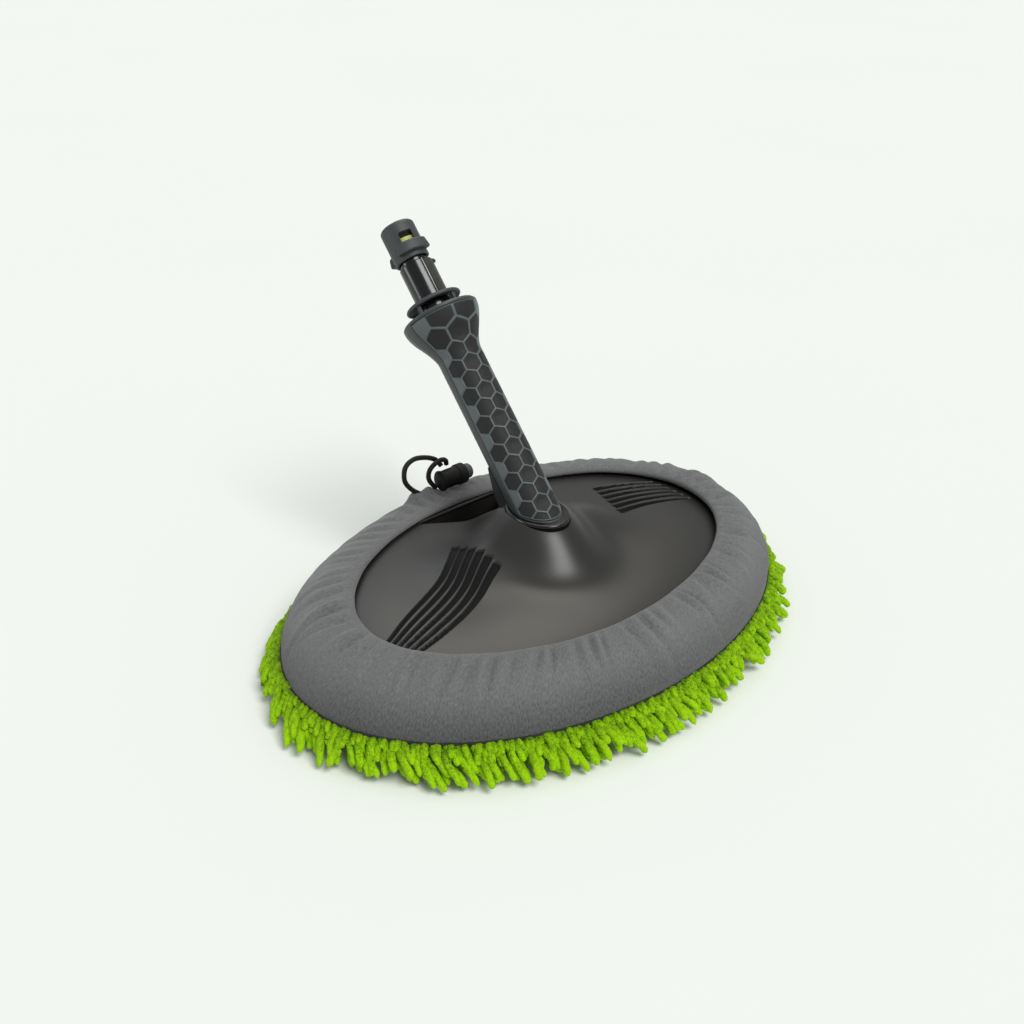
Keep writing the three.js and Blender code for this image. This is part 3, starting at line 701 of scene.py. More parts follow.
# %% Trim ring and brace
TRIM_BORE, TRIM_LOW, TRIM_TOP = 0.0141, 0.0766, 0.0806
TRIM_A, TRIM_B, TRIM_Y = 0.0162, 0.0222, 0.0003
TRIM_EDGE = [  # height and how far the edge is drawn in there
    (TRIM_LOW, 0.0), (TRIM_TOP - 0.0014, 0.0), (TRIM_TOP - 0.0006, 0.0002), (TRIM_TOP - 0.0002, 0.0006),
    (TRIM_TOP, 0.0012),
]
trim_turn = np.linspace(0, 2 * math.pi, 96, endpoint=False)
trim_rings = []
for z, inset in TRIM_EDGE:
    x = (TRIM_A - inset) * np.cos(trim_turn)
    y = TRIM_Y + (TRIM_B - inset) * np.sin(trim_turn)
    trim_rings.append(np.stack([x, y, z + 0 * trim_turn], -1))
bore = turned("bore", [(TRIM_BORE, -0.04), (TRIM_BORE, 0.04)], solid=True, place=HANDLE)
trim = crisp(carve(lofted("trim_ring", trim_rings), bore))
settle(trim, barrel_gloss, "barrel_gloss", "socket_trim")

BRACE_HALF_WIDTH = 0.0055
BRACE_OUTLINE = [
    (0.0172, 0.04), (0.0195, 0.036), (0.024, 0.025), (0.027, 0.01), (0.028, -0.004), (0.025, -0.0165),
    (0.0172, -0.0165),
]
outline = rounded(BRACE_OUTLINE, 0.003)
sides = [[(x, rear, station) for rear, station in outline] for x in (-BRACE_HALF_WIDTH, BRACE_HALF_WIDTH)]
brace = lofted("brace", sides, place=HANDLE)
bevel = brace.modifiers.new("soft_edges", "BEVEL")
bevel.width = 0.0012
bevel.segments = 3
bevel.limit_method = "ANGLE"
settle(crisp(brace), neck_plastic, "neck_plastic", "neck_socket")

# %% [markdown]
# ## Inlet
# From the flare upward: a retaining nut, a round-lipped collar on short posts, the glossy barrel with its
# latch rail, and the bayonet sleeve with two lugs and a window that shows the nipple inside.

# %% Retainer, barrel and collar
COLLAR = 0.1395
BARREL_RADIUS = 0.01
NECK_RADIUS = 0.0086
BARREL_TOP, NOSE = 0.1656, 0.177
retainer_top = FLARE_END - 0.0014
retainer = turned(
    "retainer",
    [(BARREL_RADIUS + GAP, 0.1211), (0.014, 0.1211), (0.0164, FLARE_END - 0.0034), (0.018, retainer_top),
     (BARREL_RADIUS + GAP, retainer_top)],
    0.0005, place=HANDLE,
)
settle(retainer, barrel_gloss, "barrel_gloss", "inlet_retainer")

barrel = turned(
    "barrel",
    [(0.004, 0.1173), (0.0122, 0.1173), (0.0122, 0.1203), (BARREL_RADIUS, 0.1203),
     (BARREL_RADIUS, BARREL_TOP), (NECK_RADIUS, BARREL_TOP), (NECK_RADIUS, NOSE), (0.004, NOSE)],
    0.0005, place=HANDLE,
)
settle(barrel, barrel_gloss, "barrel_gloss", "inlet_barrel")

COLLAR_RIM = 0.0175
collar = turned(
    "collar",
    [(BARREL_RADIUS + GAP, COLLAR), (COLLAR_RIM - 0.0024, COLLAR), (COLLAR_RIM - 0.001, COLLAR - 0.0009),
     (COLLAR_RIM, COLLAR - 0.0002), (COLLAR_RIM, COLLAR + 0.0011), (COLLAR_RIM - 0.001, COLLAR + 0.002),
     (COLLAR_RIM - 0.0024, COLLAR + 0.0015), (BARREL_RADIUS + GAP, COLLAR + 0.0015)],
    0.0006, place=HANDLE,
)
POSTS, POST_START = 4, 0.35
POST_CIRCLE, POST_RADIUS = 0.0152, 0.0012
for post in range(POSTS):
    turn = post * 2 * math.pi / POSTS + POST_START
    offset = Matrix.Translation((POST_CIRCLE * math.sin(turn), -POST_CIRCLE * math.cos(turn), 0))
    foot = [(POST_RADIUS, FLARE_END - 0.0011), (POST_RADIUS, COLLAR + 0.0005)]
    carve(collar, turned("post", foot, solid=True, steps=24, place=HANDLE @ offset), "UNION")
settle(crisp(collar), sleeve_plastic, "sleeve_plastic", "guard_collar")


# %% [markdown]
# The rail and the lugs are bands that cover part of a turn. Each is a loft of slices: an arc out, an arc
# back, and rounded corners, with the first and last slices drawn in a little so the ends look moulded.


# %% Bands, the rail and the sleeve
def band(name, levels, inner, facing, steps=40):
    """A band round Z. Each level is (station, half angle, outer radius)."""
    rings = []
    for station, half, outer in levels:
        turn = np.linspace(-half, half, steps)
        rounding = 0.0006 * (1 - ease(half - np.abs(turn), 0, 0.06))
        out = np.hstack([around_handle(outer - rounding, turn, facing), np.full((steps, 1), station)])
        homeward = around_handle(np.full(steps, inner), turn[::-1], facing)
        rings.append(np.vstack([out, np.hstack([homeward, np.full((steps, 1), station)])]))
    return lofted(name, rings, place=HANDLE)


RAIL_HALF = math.radians(33)
RAIL_OUT = BARREL_RADIUS + 0.0009
rail_levels = [(0.143, RAIL_HALF - 0.03, RAIL_OUT - 0.0003), (0.1434, RAIL_HALF, RAIL_OUT),
               (0.1646, RAIL_HALF, RAIL_OUT), (0.165, RAIL_HALF - 0.03, RAIL_OUT - 0.0003)]
rail = band("rail", rail_levels, BARREL_RADIUS + GAP / 2, RAIL_HALF)
nub_levels = [(0.1622, 0.09, RAIL_OUT + 0.0013), (0.1634, 0.11, RAIL_OUT + 0.0016),
              (0.1646, 0.1, RAIL_OUT + 0.0008)]
carve(rail, band("nub", nub_levels, BARREL_RADIUS + 0.0006, 2 * RAIL_HALF - 0.12, 12), "UNION")
settle(crisp(rail), rail_plastic, "rail_plastic", "latch_rail")
# Painted highlight: a light grey bead along the rail's left edge stands for the bright line that edge
# catches.
bead_levels = [(0.1426, 0.024, RAIL_OUT + 0.0001), (0.1654, 0.024, RAIL_OUT + 0.0001)]
settle(band("rail_painted_highlight", bead_levels, BARREL_RADIUS, -0.05, 9), tube_plastic, "rail_plastic")

SLEEVE_LOW, LUG_LOW, LUG_HIGH, LUG_RADIUS = 0.168, 0.1708, 0.1776, 0.0143
WINDOW_LOW, WINDOW_HIGH, WINDOW_TURN = 0.1782, 0.1844, -math.radians(16)
SLEEVE_RADIUS, NOSE_BORE, INLET_TOP = 0.0108, 0.007, 0.192
sleeve = turned(
    "sleeve",
    [(0.009, SLEEVE_LOW), (SLEEVE_RADIUS, SLEEVE_LOW), (SLEEVE_RADIUS, INLET_TOP - 0.0016),
     (SLEEVE_RADIUS - 0.0014, INLET_TOP), (NOSE_BORE, INLET_TOP), (NOSE_BORE, INLET_TOP - 0.006),
     (0.009, INLET_TOP - 0.006)],
    0.0009, place=HANDLE,
)
half = math.radians(42)
lug_levels = [
    (LUG_LOW, half + 0.13, LUG_RADIUS - 0.0007), (LUG_LOW + 0.0005, half + 0.16, LUG_RADIUS - 0.0001),
    (LUG_LOW + 0.001, half + 0.16, LUG_RADIUS), (LUG_HIGH - 0.0012, half, LUG_RADIUS),
    (LUG_HIGH - 0.0004, half - 0.02, LUG_RADIUS - 0.0005), (LUG_HIGH, half - 0.05, LUG_RADIUS - 0.0012),
]
for facing in (ROLL, math.pi + ROLL):
    carve(sleeve, band("lug", lug_levels, 0.0096, facing, 60), "UNION")
WINDOW_WIDTH, WINDOW_DEEP = 0.0084, 0.008
corner = rounded([(-WINDOW_WIDTH / 2, WINDOW_LOW), (WINDOW_WIDTH / 2, WINDOW_LOW),
                  (WINDOW_WIDTH / 2, WINDOW_HIGH), (-WINDOW_WIDTH / 2, WINDOW_HIGH)], 0.0007)
faces_of_window = [[(x, -y, z) for x, z in corner] for y in (0.006, 0.006 + WINDOW_DEEP)]
window = lofted("window", faces_of_window, place=HANDLE @ Matrix.Rotation(WINDOW_TURN, 4, "Z"))
settle(crisp(carve(sleeve, window)), sleeve_plastic, "sleeve_plastic", "inlet_sleeve")

nipple = turned("nipple", [(0.0035, 0.1773), (NECK_RADIUS, 0.1773), (NECK_RADIUS, 0.1816), (0.0035, 0.1816)],
                0.0006, place=HANDLE)
settle(nipple, insert_plastic, "insert_plastic", "inlet_insert")

# %% [markdown]
# ## Plate
# The plate is one moulding: a rounded shoulder, a slow dish, the hub that takes the handle, and two mounds
# with curved channels. Its height is a formula, so a fine oval grid of points follows it exactly.

# %% Height of the plate
PLATE_A, PLATE_B = 0.155, 0.107
PLATE_EDGE_Z, RIM_RISE, DISH_RISE = 0.04, 0.009, 0.006
HUB_HEIGHT, HUB_RX, HUB_RY = 0.028, 0.028, 0.036
MOUND_HEIGHT, MOUND_X, MOUND_Y, MOUND_RX, MOUND_RY = 0.008, 0.041, 0.005, 0.02, 0.022
PLATE_THICKNESS = 0.0028
SKIRT_Z = 0.036


def plate_top(x, y):
    out = np.hypot(x / PLATE_A, y / PLATE_B)
    hub = HUB_HEIGHT * np.exp(-(np.hypot(x / HUB_RX, y / HUB_RY) ** 3))
    aside, along = (np.abs(x) - MOUND_X) / MOUND_RX, (y - MOUND_Y) / MOUND_RY
    mound = MOUND_HEIGHT * np.exp(-(aside**2) - along**2)
    return PLATE_EDGE_Z + RIM_RISE * (1 - out**6) + DISH_RISE * (1 - out**2) + hub + mound


print("hub top at", round(float(plate_top(0, 0)), 4), "m")

# %% [markdown]
# Six channels fan out to each side. The first and the last are smooth curves through a few points, and
# the others lie between them in equal steps. Each channel is as deep as its distance to the nearest point
# of its curve says, and it fades at both ends.

# %% Channels
CHANNELS = 6
LEFT_FAN = [
    [(-0.038, 0.0295), (-0.0505, 0.0185), (-0.0645, 0.009), (-0.0825, 0.0015), (-0.1016, -0.006),
     (-0.116, -0.0125), (-0.127, -0.0165)],
    [(-0.0365, -0.0075), (-0.0475, -0.012), (-0.0605, -0.0185), (-0.077, -0.025), (-0.0965, -0.0297),
     (-0.1115, -0.0315), (-0.1207, -0.0325)],
]
RIGHT_FAN = [
    [(0.076, 0.031), (0.084, 0.029), (0.092, 0.0265), (0.1, 0.0235), (0.109, 0.02), (0.118, 0.016)],
    [(0.065, -0.003), (0.076, -0.0025), (0.087, -0.0035), (0.098, -0.006), (0.11, -0.0095), (0.121, -0.013)],
]
CHANNEL_DEPTH = 0.0022


def channel_depth(x, y):
    """How far each point is sunk into a channel, from 0 to 1."""
    sunk = np.zeros(x.shape)
    near = (np.abs(x) > 0.025) & (np.abs(x) < 0.13) & (np.abs(y) < 0.05)
    here = np.stack([x[near], y[near]], -1)
    deepest = np.zeros(len(here))
    for first, last in (LEFT_FAN, RIGHT_FAN):
        for share in np.linspace(0, 1, CHANNELS):
            route = smooth_route(np.array(first) * (1 - share) + np.array(last) * share, 12)
            away = np.linalg.norm(here[:, None] - route[None], axis=2)
            along = away.argmin(1) / (len(route) - 1)
            half = 0.0026 - 0.0016 * along
            ends = np.minimum(ease(along, 0.0, 0.012), 1 - ease(along, 0.93, 1.0))
            deepest = np.maximum(deepest, (1 - ease(away.min(1), half * 0.8, half * 1.1)) * ends)
    sunk[near] = deepest
    return sunk


print(CHANNELS, "channels on each side")

# %% [markdown]
# The mesh is one loft that runs over the top, round the skirt and back under. Its rings are ovals, closest
# together at the shoulder, and their points are crowded to the left and right, where the channels are.

# %% The plate's mesh
CROWDING = 0.36


def oval_grid(shares, turn):
    return PLATE_A * shares[:, None] * np.cos(turn), PLATE_B * shares[:, None] * np.sin(turn)


even = np.linspace(0, 2 * math.pi, 960, endpoint=False)
turn = even - CROWDING * np.sin(2 * even)
dish_shares = np.linspace(0.03, 0.84, 230)
top_shares = np.concatenate([dish_shares, np.linspace(0.85, 0.985, 12), [0.993, 0.998, 1.0]])
under_shares = np.linspace(0.98, 0.03, 60)
x, y = oval_grid(top_shares, turn)
sunk = channel_depth(x, y)
top = np.stack([x, y, plate_top(x, y) - CHANNEL_DEPTH * sunk], -1)
x, y = oval_grid(np.array([1.0, 1.0, 0.982]), turn)
skirt = np.stack([x, y, np.array([SKIRT_Z + 0.001, SKIRT_Z, SKIRT_Z])[:, None] + 0 * x], -1)
x, y = oval_grid(under_shares, turn)
under = np.stack([x, y, plate_top(x, y) - PLATE_THICKNESS], -1)
plate = lofted("plate", np.concatenate([top, skirt, under]), joined=True)
# Painted shade: the sunk channel floors are marked to be painted near black.
dark = ease(sunk, 0.1, 0.35).ravel()
carry(plate, "painted_recess_shade", np.concatenate([dark, np.zeros(skirt[..., 0].size + under[..., 0].size)]))
print(len(plate.data.vertices), "points in the plate, before its openings are cut")

# %% [markdown]
# Behind the hub the plate is open: a bay with walls that a thumb or a strap can reach. A prism cuts the
# opening, and a ring of wall hangs from its edge. A second, oval prism cuts the seat of the trim ring.

# %% The bay behind the hub
BAY_FRONT, BAY_BACK, BAY_FRONT_HALF, BAY_BACK_HALF, BAY_WALL = 0.049, 0.074, 0.011, 0.035, 0.0022
BAY_FLOOR_Z = 0.0375


def bay_outline(grow):
    front, rear = BAY_FRONT - grow, BAY_BACK + grow
    narrow, wide = BAY_FRONT_HALF + grow, BAY_BACK_HALF + grow
    corners = [(-narrow, front), (narrow, front), (wide, rear - 0.002), (wide - 0.002, rear),
               (0.002 - wide, rear), (-wide, rear - 0.002)]
    return rounded(corners, 0.005, steps=8)


def upright_prism(name, outline, low, high):
    return lofted(name, [[(x, y, z) for x, y in outline] for z in (low, high)])


seat = [((TRIM_A + GAP) * math.cos(t), TRIM_Y + (TRIM_B + GAP) * math.sin(t)) for t in trim_turn]
carve(plate, upright_prism("hole", bay_outline(0), 0.03, 0.09))
carve(plate, upright_prism("socket", seat, 0.072, 0.1))
settle(plate, plate_plastic, "plate_plastic", "backing_plate")
inner, outer = bay_outline(0.0002), bay_outline(BAY_WALL)
wall_rings = []
for edge_line, drop in ((outer, None), (outer, 0.0012), (inner, 0.0004), (inner, None)):
    x, y = edge_line.T
    height = BAY_FLOOR_Z + 0 * x if drop is None else plate_top(x, y) - drop
    wall_rings.append(np.stack([x, y, height], -1))
bay_wall = lofted("bay_wall", wall_rings, joined=True)
wall_y = np.array([vertex.co.y for vertex in bay_wall.data.vertices])
# Painted shade: the bay's walls are painted near black, and the rear wall, which faces the light, only a
# quarter as dark.
carry(bay_wall, "painted_recess_shade", 1 - 0.75 * ease(wall_y, BAY_BACK - 0.003, BAY_BACK - 0.001))
settle(crisp(bay_wall), plate_plastic, "plate_plastic")

# %% [markdown]
# ## Foam
# Under the plate a soft pad carries the pile. It shows only at the bottom of the bay, so rounded edges and
# open pores are enough.

# %% Foam pad
FOAM_A, FOAM_B = 0.16, 0.112
FOAM_LOW, FOAM_HIGH = 0.0236, 0.0354
FOAM_EDGE = [  # how far the edge is drawn in, and the height there
    (0.003, FOAM_LOW), (0.001, 0.0242), (0, 0.026), (0, 0.031), (0.0008, 0.034), (0.003, FOAM_HIGH),
]
turn = np.linspace(0, 2 * math.pi, 180, endpoint=False)
foam_rings = []
for inset, z in FOAM_EDGE:
    ring = [(FOAM_A - inset) * np.cos(turn), (FOAM_B - inset) * np.sin(turn), z + 0 * turn]
    foam_rings.append(np.stack(ring, -1))
foam = lofted("foam", foam_rings)
settle(foam, foam_black, "foam", "foam_pad")

# %% [markdown]
# ## Cover
# The cover is one strip of knit, sewn to the pile at its lower edge and gathered by the drawstring at its
# lip. A simulation would have to find the gathers. Here a rule spaces them about a centimetre apart, and
# seeded luck shifts, leans and sizes each one, so they are cheap to make and the same on each run.

# %% The cover's section
SEAM_A, SEAM_B, SEAM_Z = 0.165, 0.117, 0.024
LIP_A, LIP_B, LIP_Y = 0.1255, 0.0823, -0.005
CLOTH = 0.0013
SECTION = [  # share of the way from the lip to the seam, and height
    (0.12, 0.0512), (0.03, 0.0508), (-0.035, 0.0514), (-0.055, 0.0531), (-0.03, 0.0549), (0.05, 0.0558),
    (0.15, 0.0552), (0.26, 0.0542), (0.38, 0.0529), (0.5, 0.0509), (0.66, 0.0468), (0.82, 0.041),
    (0.93, 0.035), (0.99, 0.0295), (1.0, 0.0243),
]
ROUND_STEPS = 900
LIP_ROW = 30  # the ring of the section where the cloth turns over the lip
section = smooth_route(SECTION, 7)
turn = np.linspace(0, 2 * math.pi, ROUND_STEPS, endpoint=False)


def on_cover(share, height, turn):
    """A point of the cover from its section, all round the oval."""
    x = (LIP_A + (SEAM_A - LIP_A) * share) * np.cos(turn)
    y = LIP_Y * (1 - share) + (LIP_B + (SEAM_B - LIP_B) * share) * np.sin(turn)
    return np.stack([x, y, height + 0 * turn], -1)


def outward_normals(grid):
    """Unit normals of a grid of points that closes on itself round the oval."""
    down = np.gradient(grid, axis=0)
    round_it = np.roll(grid, -1, axis=1) - np.roll(grid, 1, axis=1)
    normal = np.cross(down, round_it)
    return normal / np.linalg.norm(normal, axis=2, keepdims=True)


def distances(points):
    """How far along a line each of its points is."""
    return np.concatenate([[0], np.cumsum(np.linalg.norm(np.diff(points, axis=0), axis=1))])


cloth = on_cover(section[:, 0, None], section[:, 1, None], turn)
run = distances(section * (SEAM_B - LIP_B, 1))
arc = distances(np.vstack([cloth[LIP_ROW], cloth[LIP_ROW, :1]]))
print(f"lip {arc[-1]:.3f} m round, strip {run[-1]:.3f} m wide")

# %% [markdown]
# Each gather is a ridge down the cloth with a crease on one side, and it fades with the distance from the
# lip. A number for every point of the grid says how far the cloth is lifted there, along its own normal.
# The cloth is bunched round the cords and calmer along the far side, and slow waves make it uneven.

# %% Gathers
GATHER_STEP = 0.0098
LOCK_SIDE = math.radians(104)  # where the drawstring comes out and bunches the cloth
CORD_LUMPS = [  # x, y, height and width of the lumps round the cords' exits
    (-0.0185, 0.0935, 0.0062, 0.0062), (-0.0085, 0.0925, 0.0052, 0.0048), (-0.036, 0.086, 0.0028, 0.006),
]
luck = np.random.default_rng(7)
normal = outward_normals(cloth)
past_lip = run - run[LIP_ROW]
count = round(arc[-1] / GATHER_STEP)
lift = np.zeros(cloth.shape[:2])
for k in range(count):
    at = (k + luck.uniform(-0.28, 0.28)) * arc[-1] / count
    reach = luck.uniform(0.011, 0.024)
    height = luck.uniform(0.0012, 0.0028)
    width = luck.uniform(0.0024, 0.0038)
    lean = luck.uniform(-0.22, 0.22)
    wander = luck.uniform(0, 6.28)
    route = at + lean * past_lip + 0.0006 * np.sin(past_lip * 160 + wander)
    aside = (arc[None, :-1] - route[:, None] + arc[-1] / 2) % arc[-1] - arc[-1] / 2
    bunched = 1 + 0.7 * math.exp(-(((at / arc[-1] * 2 * math.pi - LOCK_SIDE) / 0.28) ** 2))
    fade = np.exp(-((np.maximum(past_lip - 0.008, 0) / reach) ** 2)) * ease(past_lip, -0.001, 0.008)
    puff = np.exp(-((aside / width) ** 2)) - 0.9 * np.exp(-(((aside - 1.3 * width) / (0.55 * width)) ** 2))
    lift += height * bunched * fade[:, None] * puff
lift *= 1 - 0.65 * ease(np.sin(turn), 0.1, 0.7)  # calmer along the far side
for x, y, height, width in CORD_LUMPS:
    aside = np.hypot(cloth[..., 0] - x, cloth[..., 1] - y)
    lift += height * np.exp(-((aside / width) ** 2))
for waves, size in ((5, 0.0005), (11, 0.0004), (23, 0.00022)):
    phase = luck.uniform(0, 6.28)
    lift += size * np.sin(waves * turn + phase)[None] * np.sin(past_lip[:, None] * 70 + phase)
lift *= 1 - ease(past_lip, past_lip[-1] - 0.004, past_lip[-1])[:, None]
cloth = cloth + normal * lift[..., None]
print(count, "gathers, the highest", round(float(lift.max()) * 1000, 2), "mm")

# %% [markdown]
# A second, coarser surface inside the first gives the cloth its thickness, and one loft joins the two. The
# cloth's map counts metres round the lip and down the strip, which is what the knit's columns follow.

# %% The cover's mesh
LINING_STEP = 3
lining = (cloth - outward_normals(cloth) * CLOTH)[::-LINING_STEP]
rows_down = np.concatenate([run, run[::-LINING_STEP]])
cover = lofted("cover", np.concatenate([cloth, lining]), joined=True, cloth_map=(arc, rows_down))
# Painted shade: the knit is darkened down the lower half of the strip, towards the seam.
shade_down = ease(rows_down / run[-1], 0.5, 1.0)[:, None] + 0 * turn
carry(cover, "painted_low_shade", shade_down)
settle(cover, cover_knit, "cover_knit", "cover_band", "hem_casing")
seam_round = math.pi * (3 * (SEAM_A + SEAM_B) - math.sqrt((3 * SEAM_A + SEAM_B) * (SEAM_A + 3 * SEAM_B)))

# %% [markdown]
# The pile is sewn to a flat backing, and the edge of that backing is bound into a thin corded seam. The
# backing is a closed oval of cloth; its rolled rim is drawn in the same loft.

# %% Backing and its seam
SEAM_CORD = 0.0009
backing_rings = []
for angle in np.linspace(-math.pi * 0.8, math.pi * 0.8, 9):
    out, up = SEAM_CORD * math.cos(angle), SEAM_CORD * math.sin(angle)
    grown = 1 + (out - 0.0004) / SEAM_B
    backing_rings.append(on_cover(1.0, SEAM_Z - 0.0008 + up, turn[::3]) * (grown, grown, 1))
backing_rings = [on_cover(0.9, 0.0224, turn[::3])] + backing_rings + [on_cover(0.9, 0.0232, turn[::3])]
backing = lofted("backing", backing_rings)
settle(backing, seam_thread, "cover_knit", "pad_backing")

# %% [markdown]
# ## Pile
# The pile is some hundreds of short noodles. Each is a bent tube: a root on the backing, a tip somewhere
# below and outside it, and a Bezier curve between. Numpy makes each group at once as one mesh. The outer
# ones are fine and knobbly, and the ones underneath, pressed flat, are plainer.

# %% Where the noodles grow
def place_on_oval(turn, share, z):
    """A point at a share of the seam oval, with the outward and sideways directions there."""
    x, y = SEAM_A * share * np.cos(turn), SEAM_B * share * np.sin(turn)
    out = np.stack([np.cos(turn) / SEAM_A, np.sin(turn) / SEAM_B, 0 * turn], -1)
    out /= np.linalg.norm(out, axis=1, keepdims=True)
    side = np.stack([-out[:, 1], out[:, 0], 0 * turn], -1)
    return np.stack([x, y, z + 0 * turn], -1), out, side


def outer_noodles(count, share, root_z, reach, tip_z, lean, sway, thick, seed):
    """Control points and radii of a row of noodles round the edge. Ranges are (least, most)."""
    luck = np.random.default_rng(seed)
    even = (np.arange(count) + luck.uniform(-0.35, 0.35, count)) / count
    turn = np.interp(even % 1.0, np.append(oval_arc, 1), np.append(oval_turn, 2 * math.pi))
    root, out, side = place_on_oval(turn, share, root_z)
    out_by = luck.uniform(*reach, count)[:, None]
    swing = luck.normal(lean, sway, count)[:, None]
    low = luck.uniform(*tip_z, count)
    tip = root + out * out_by + side * swing
    tip[:, 2] = low
    rise = luck.uniform(0.0, 0.003, count)[:, None] * (0, 0, 1)
    first = root + out * out_by * luck.uniform(0.45, 0.8, count)[:, None] + rise
    second = tip - out * out_by * luck.uniform(-0.1, 0.25, count)[:, None] - side * swing * 0.2
    second[:, 2] = low + (root_z - low) * luck.uniform(0.4, 0.75, count)
    return np.stack([root, first, second, tip], 1), luck.uniform(*thick, count)


oval_turn = np.linspace(0, 2 * math.pi, 720, endpoint=False)
rim = np.stack([SEAM_A * np.cos(oval_turn), SEAM_B * np.sin(oval_turn)], -1)
oval_arc = distances(rim) / seam_round
NOODLE_ROWS = [  # count, share of the oval, root height, reach, tip height, lean, sway, radius
    (260, 0.998, 0.0212, (0.0015, 0.0045), (0.0165, 0.0195), 0.0008, 0.001, (0.0018, 0.0024)),
    (225, 0.99, 0.0197, (0.0045, 0.009), (0.012, 0.0165), 0.002, 0.002, (0.0018, 0.0025)),
    (160, 0.98, 0.0185, (0.0085, 0.0145), (0.005, 0.011), 0.005, 0.003, (0.0021, 0.0027)),
    (120, 0.965, 0.016, (0.012, 0.0195), (0.0027, 0.006), 0.008, 0.004, (0.0022, 0.0028)),
    (100, 0.94, 0.013, (0.012, 0.019), (0.0026, 0.004), 0.008, 0.005, (0.0022, 0.0028)),
]
rows = [outer_noodles(*row, seed) for seed, row in enumerate(NOODLE_ROWS, 1)]
print(sum(len(row[1]) for row in rows), "outer noodles")


# %% [markdown]
# A tube is a row of rings along its curve, narrower at both ends. Every point is moved in or out by a
# little luck, which makes the knobbly fur. Two numbers go to the finish: how near the tip a point is, and
# the tint of its noodle.


# %% Noodle tubes
def noodle_tubes(controls, thick, sides, steps, knobs, seed):
    """Points, quads, end faces and the two shading numbers of many tubes."""
    luck = np.random.default_rng(seed)
    t = np.linspace(0, 1, steps)[None, :, None]
    p0, p1, p2, p3 = (controls[:, None, k] for k in range(4))
    line = p0 * (1 - t) ** 3 + 3 * p1 * t * (1 - t) ** 2 + 3 * p2 * t**2 * (1 - t) + p3 * t**3
    forward = np.gradient(line, axis=1)
    forward /= np.linalg.norm(forward, axis=2, keepdims=True)
    level = np.cross(forward, (0.31, 0.17, 0.93))
    level /= np.linalg.norm(level, axis=2, keepdims=True)
    upright = np.cross(level, forward)
    angle = np.arange(sides) * 2 * math.pi / sides
    from_end = np.minimum(t[0, :, 0] / 0.06, (1 - t[0, :, 0]) / 0.16)
    ends = np.sqrt(np.clip(1 - (1 - np.clip(from_end, 0, 1)) ** 2, 0.03, 1)) * (1.08 - 0.3 * t[0, :, 0])
    bumps = 1 + knobs * luck.uniform(-1, 1, (len(thick), steps, sides))
    size = (thick[:, None] * ends)[..., None] * bumps
    ring = np.cos(angle)[:, None] * level[:, :, None] + np.sin(angle)[:, None] * upright[:, :, None]
    points = line[:, :, None] + ring * size[..., None]
    points[..., 2] = np.maximum(points[..., 2], 0.0002)
    rows, columns = quads_between(steps, sides, False)
    quads = (rows * sides + columns % sides)[None] + (np.arange(len(thick)) * steps * sides)[:, None, None]
    first = (np.arange(len(thick)) * steps * sides)[:, None] + np.arange(sides)
    caps = first[:, ::-1].tolist() + (first + (steps - 1) * sides).tolist()
    tip = np.broadcast_to(t[..., None, 0], points.shape[:3])
    tint = np.broadcast_to(luck.uniform(0, 1, len(thick))[:, None, None], points.shape[:3])
    return points.reshape(-1, 3), quads.reshape(-1, 4), caps, tip.ravel(), tint.ravel()


def noodle_piece(name, controls, thick, sides, steps, knobs, seed):
    points, quads, caps, tips, tints = noodle_tubes(controls, thick, sides, steps, knobs, seed)
    mesh = bpy.data.meshes.new(name)
    mesh.from_pydata(points.tolist(), [], quads.tolist() + caps)
    mesh.shade_smooth()
    piece = bpy.data.objects.new(name, mesh)
    scene.collection.objects.link(piece)
    carry(piece, "tip", tips)
    carry(piece, "tint", tints)
    return piece


controls = np.concatenate([row[0] for row in rows])
thick = np.concatenate([row[1] for row in rows])
fringe = noodle_piece("noodle_fringe", controls, thick, 10, 19, 0.15, 11)
settle(fringe, chenille, "chenille", "chenille_pile")

# %% [markdown]
# Underneath, the pile is pressed flat by the weight of the tool. A grid of roots with a random heading each
# is enough there, and the tubes have fewer sides, because they are only seen when the tool is lifted.

# %% Noodles under the pad
UNDER_STEP, UNDER_RADIUS = 0.0088, 0.0029
luck = np.random.default_rng(21)
grid_x, grid_y = np.meshgrid(np.arange(-0.16, 0.16, UNDER_STEP), np.arange(-0.112, 0.112, UNDER_STEP))
spots = np.stack([grid_x.ravel(), grid_y.ravel()], -1) + luck.uniform(-0.002, 0.002, (grid_x.size, 2))
spots = spots[np.hypot(spots[:, 0] / 0.156, spots[:, 1] / 0.108) < 1]
heading = luck.uniform(0, 2 * math.pi, len(spots))
step = np.stack([np.cos(heading), np.sin(heading)], -1) * luck.uniform(0.008, 0.014, len(spots))[:, None]
heights = (0.0205, 0.014, 0.0045, 0.0031)
under_controls = np.stack([np.hstack([spots + step * share, np.full((len(spots), 1), z)])
                           for share, z in zip((0, 0.25, 0.3, 1.0), heights)], 1)
radii = np.full(len(spots), UNDER_RADIUS)
pressed = noodle_piece("noodle_underside", under_controls, radii, 8, 9, 0.08, 22)
settle(pressed, chenille, "chenille")

# %% [markdown]
# ## Cord lock
# A sprung button slides in a small barrel, and a hole through both grips the drawstring. The lock is drawn
# upright and laid on its side by a matrix. The button is the one piece that moves, so it rides on its own
# body.

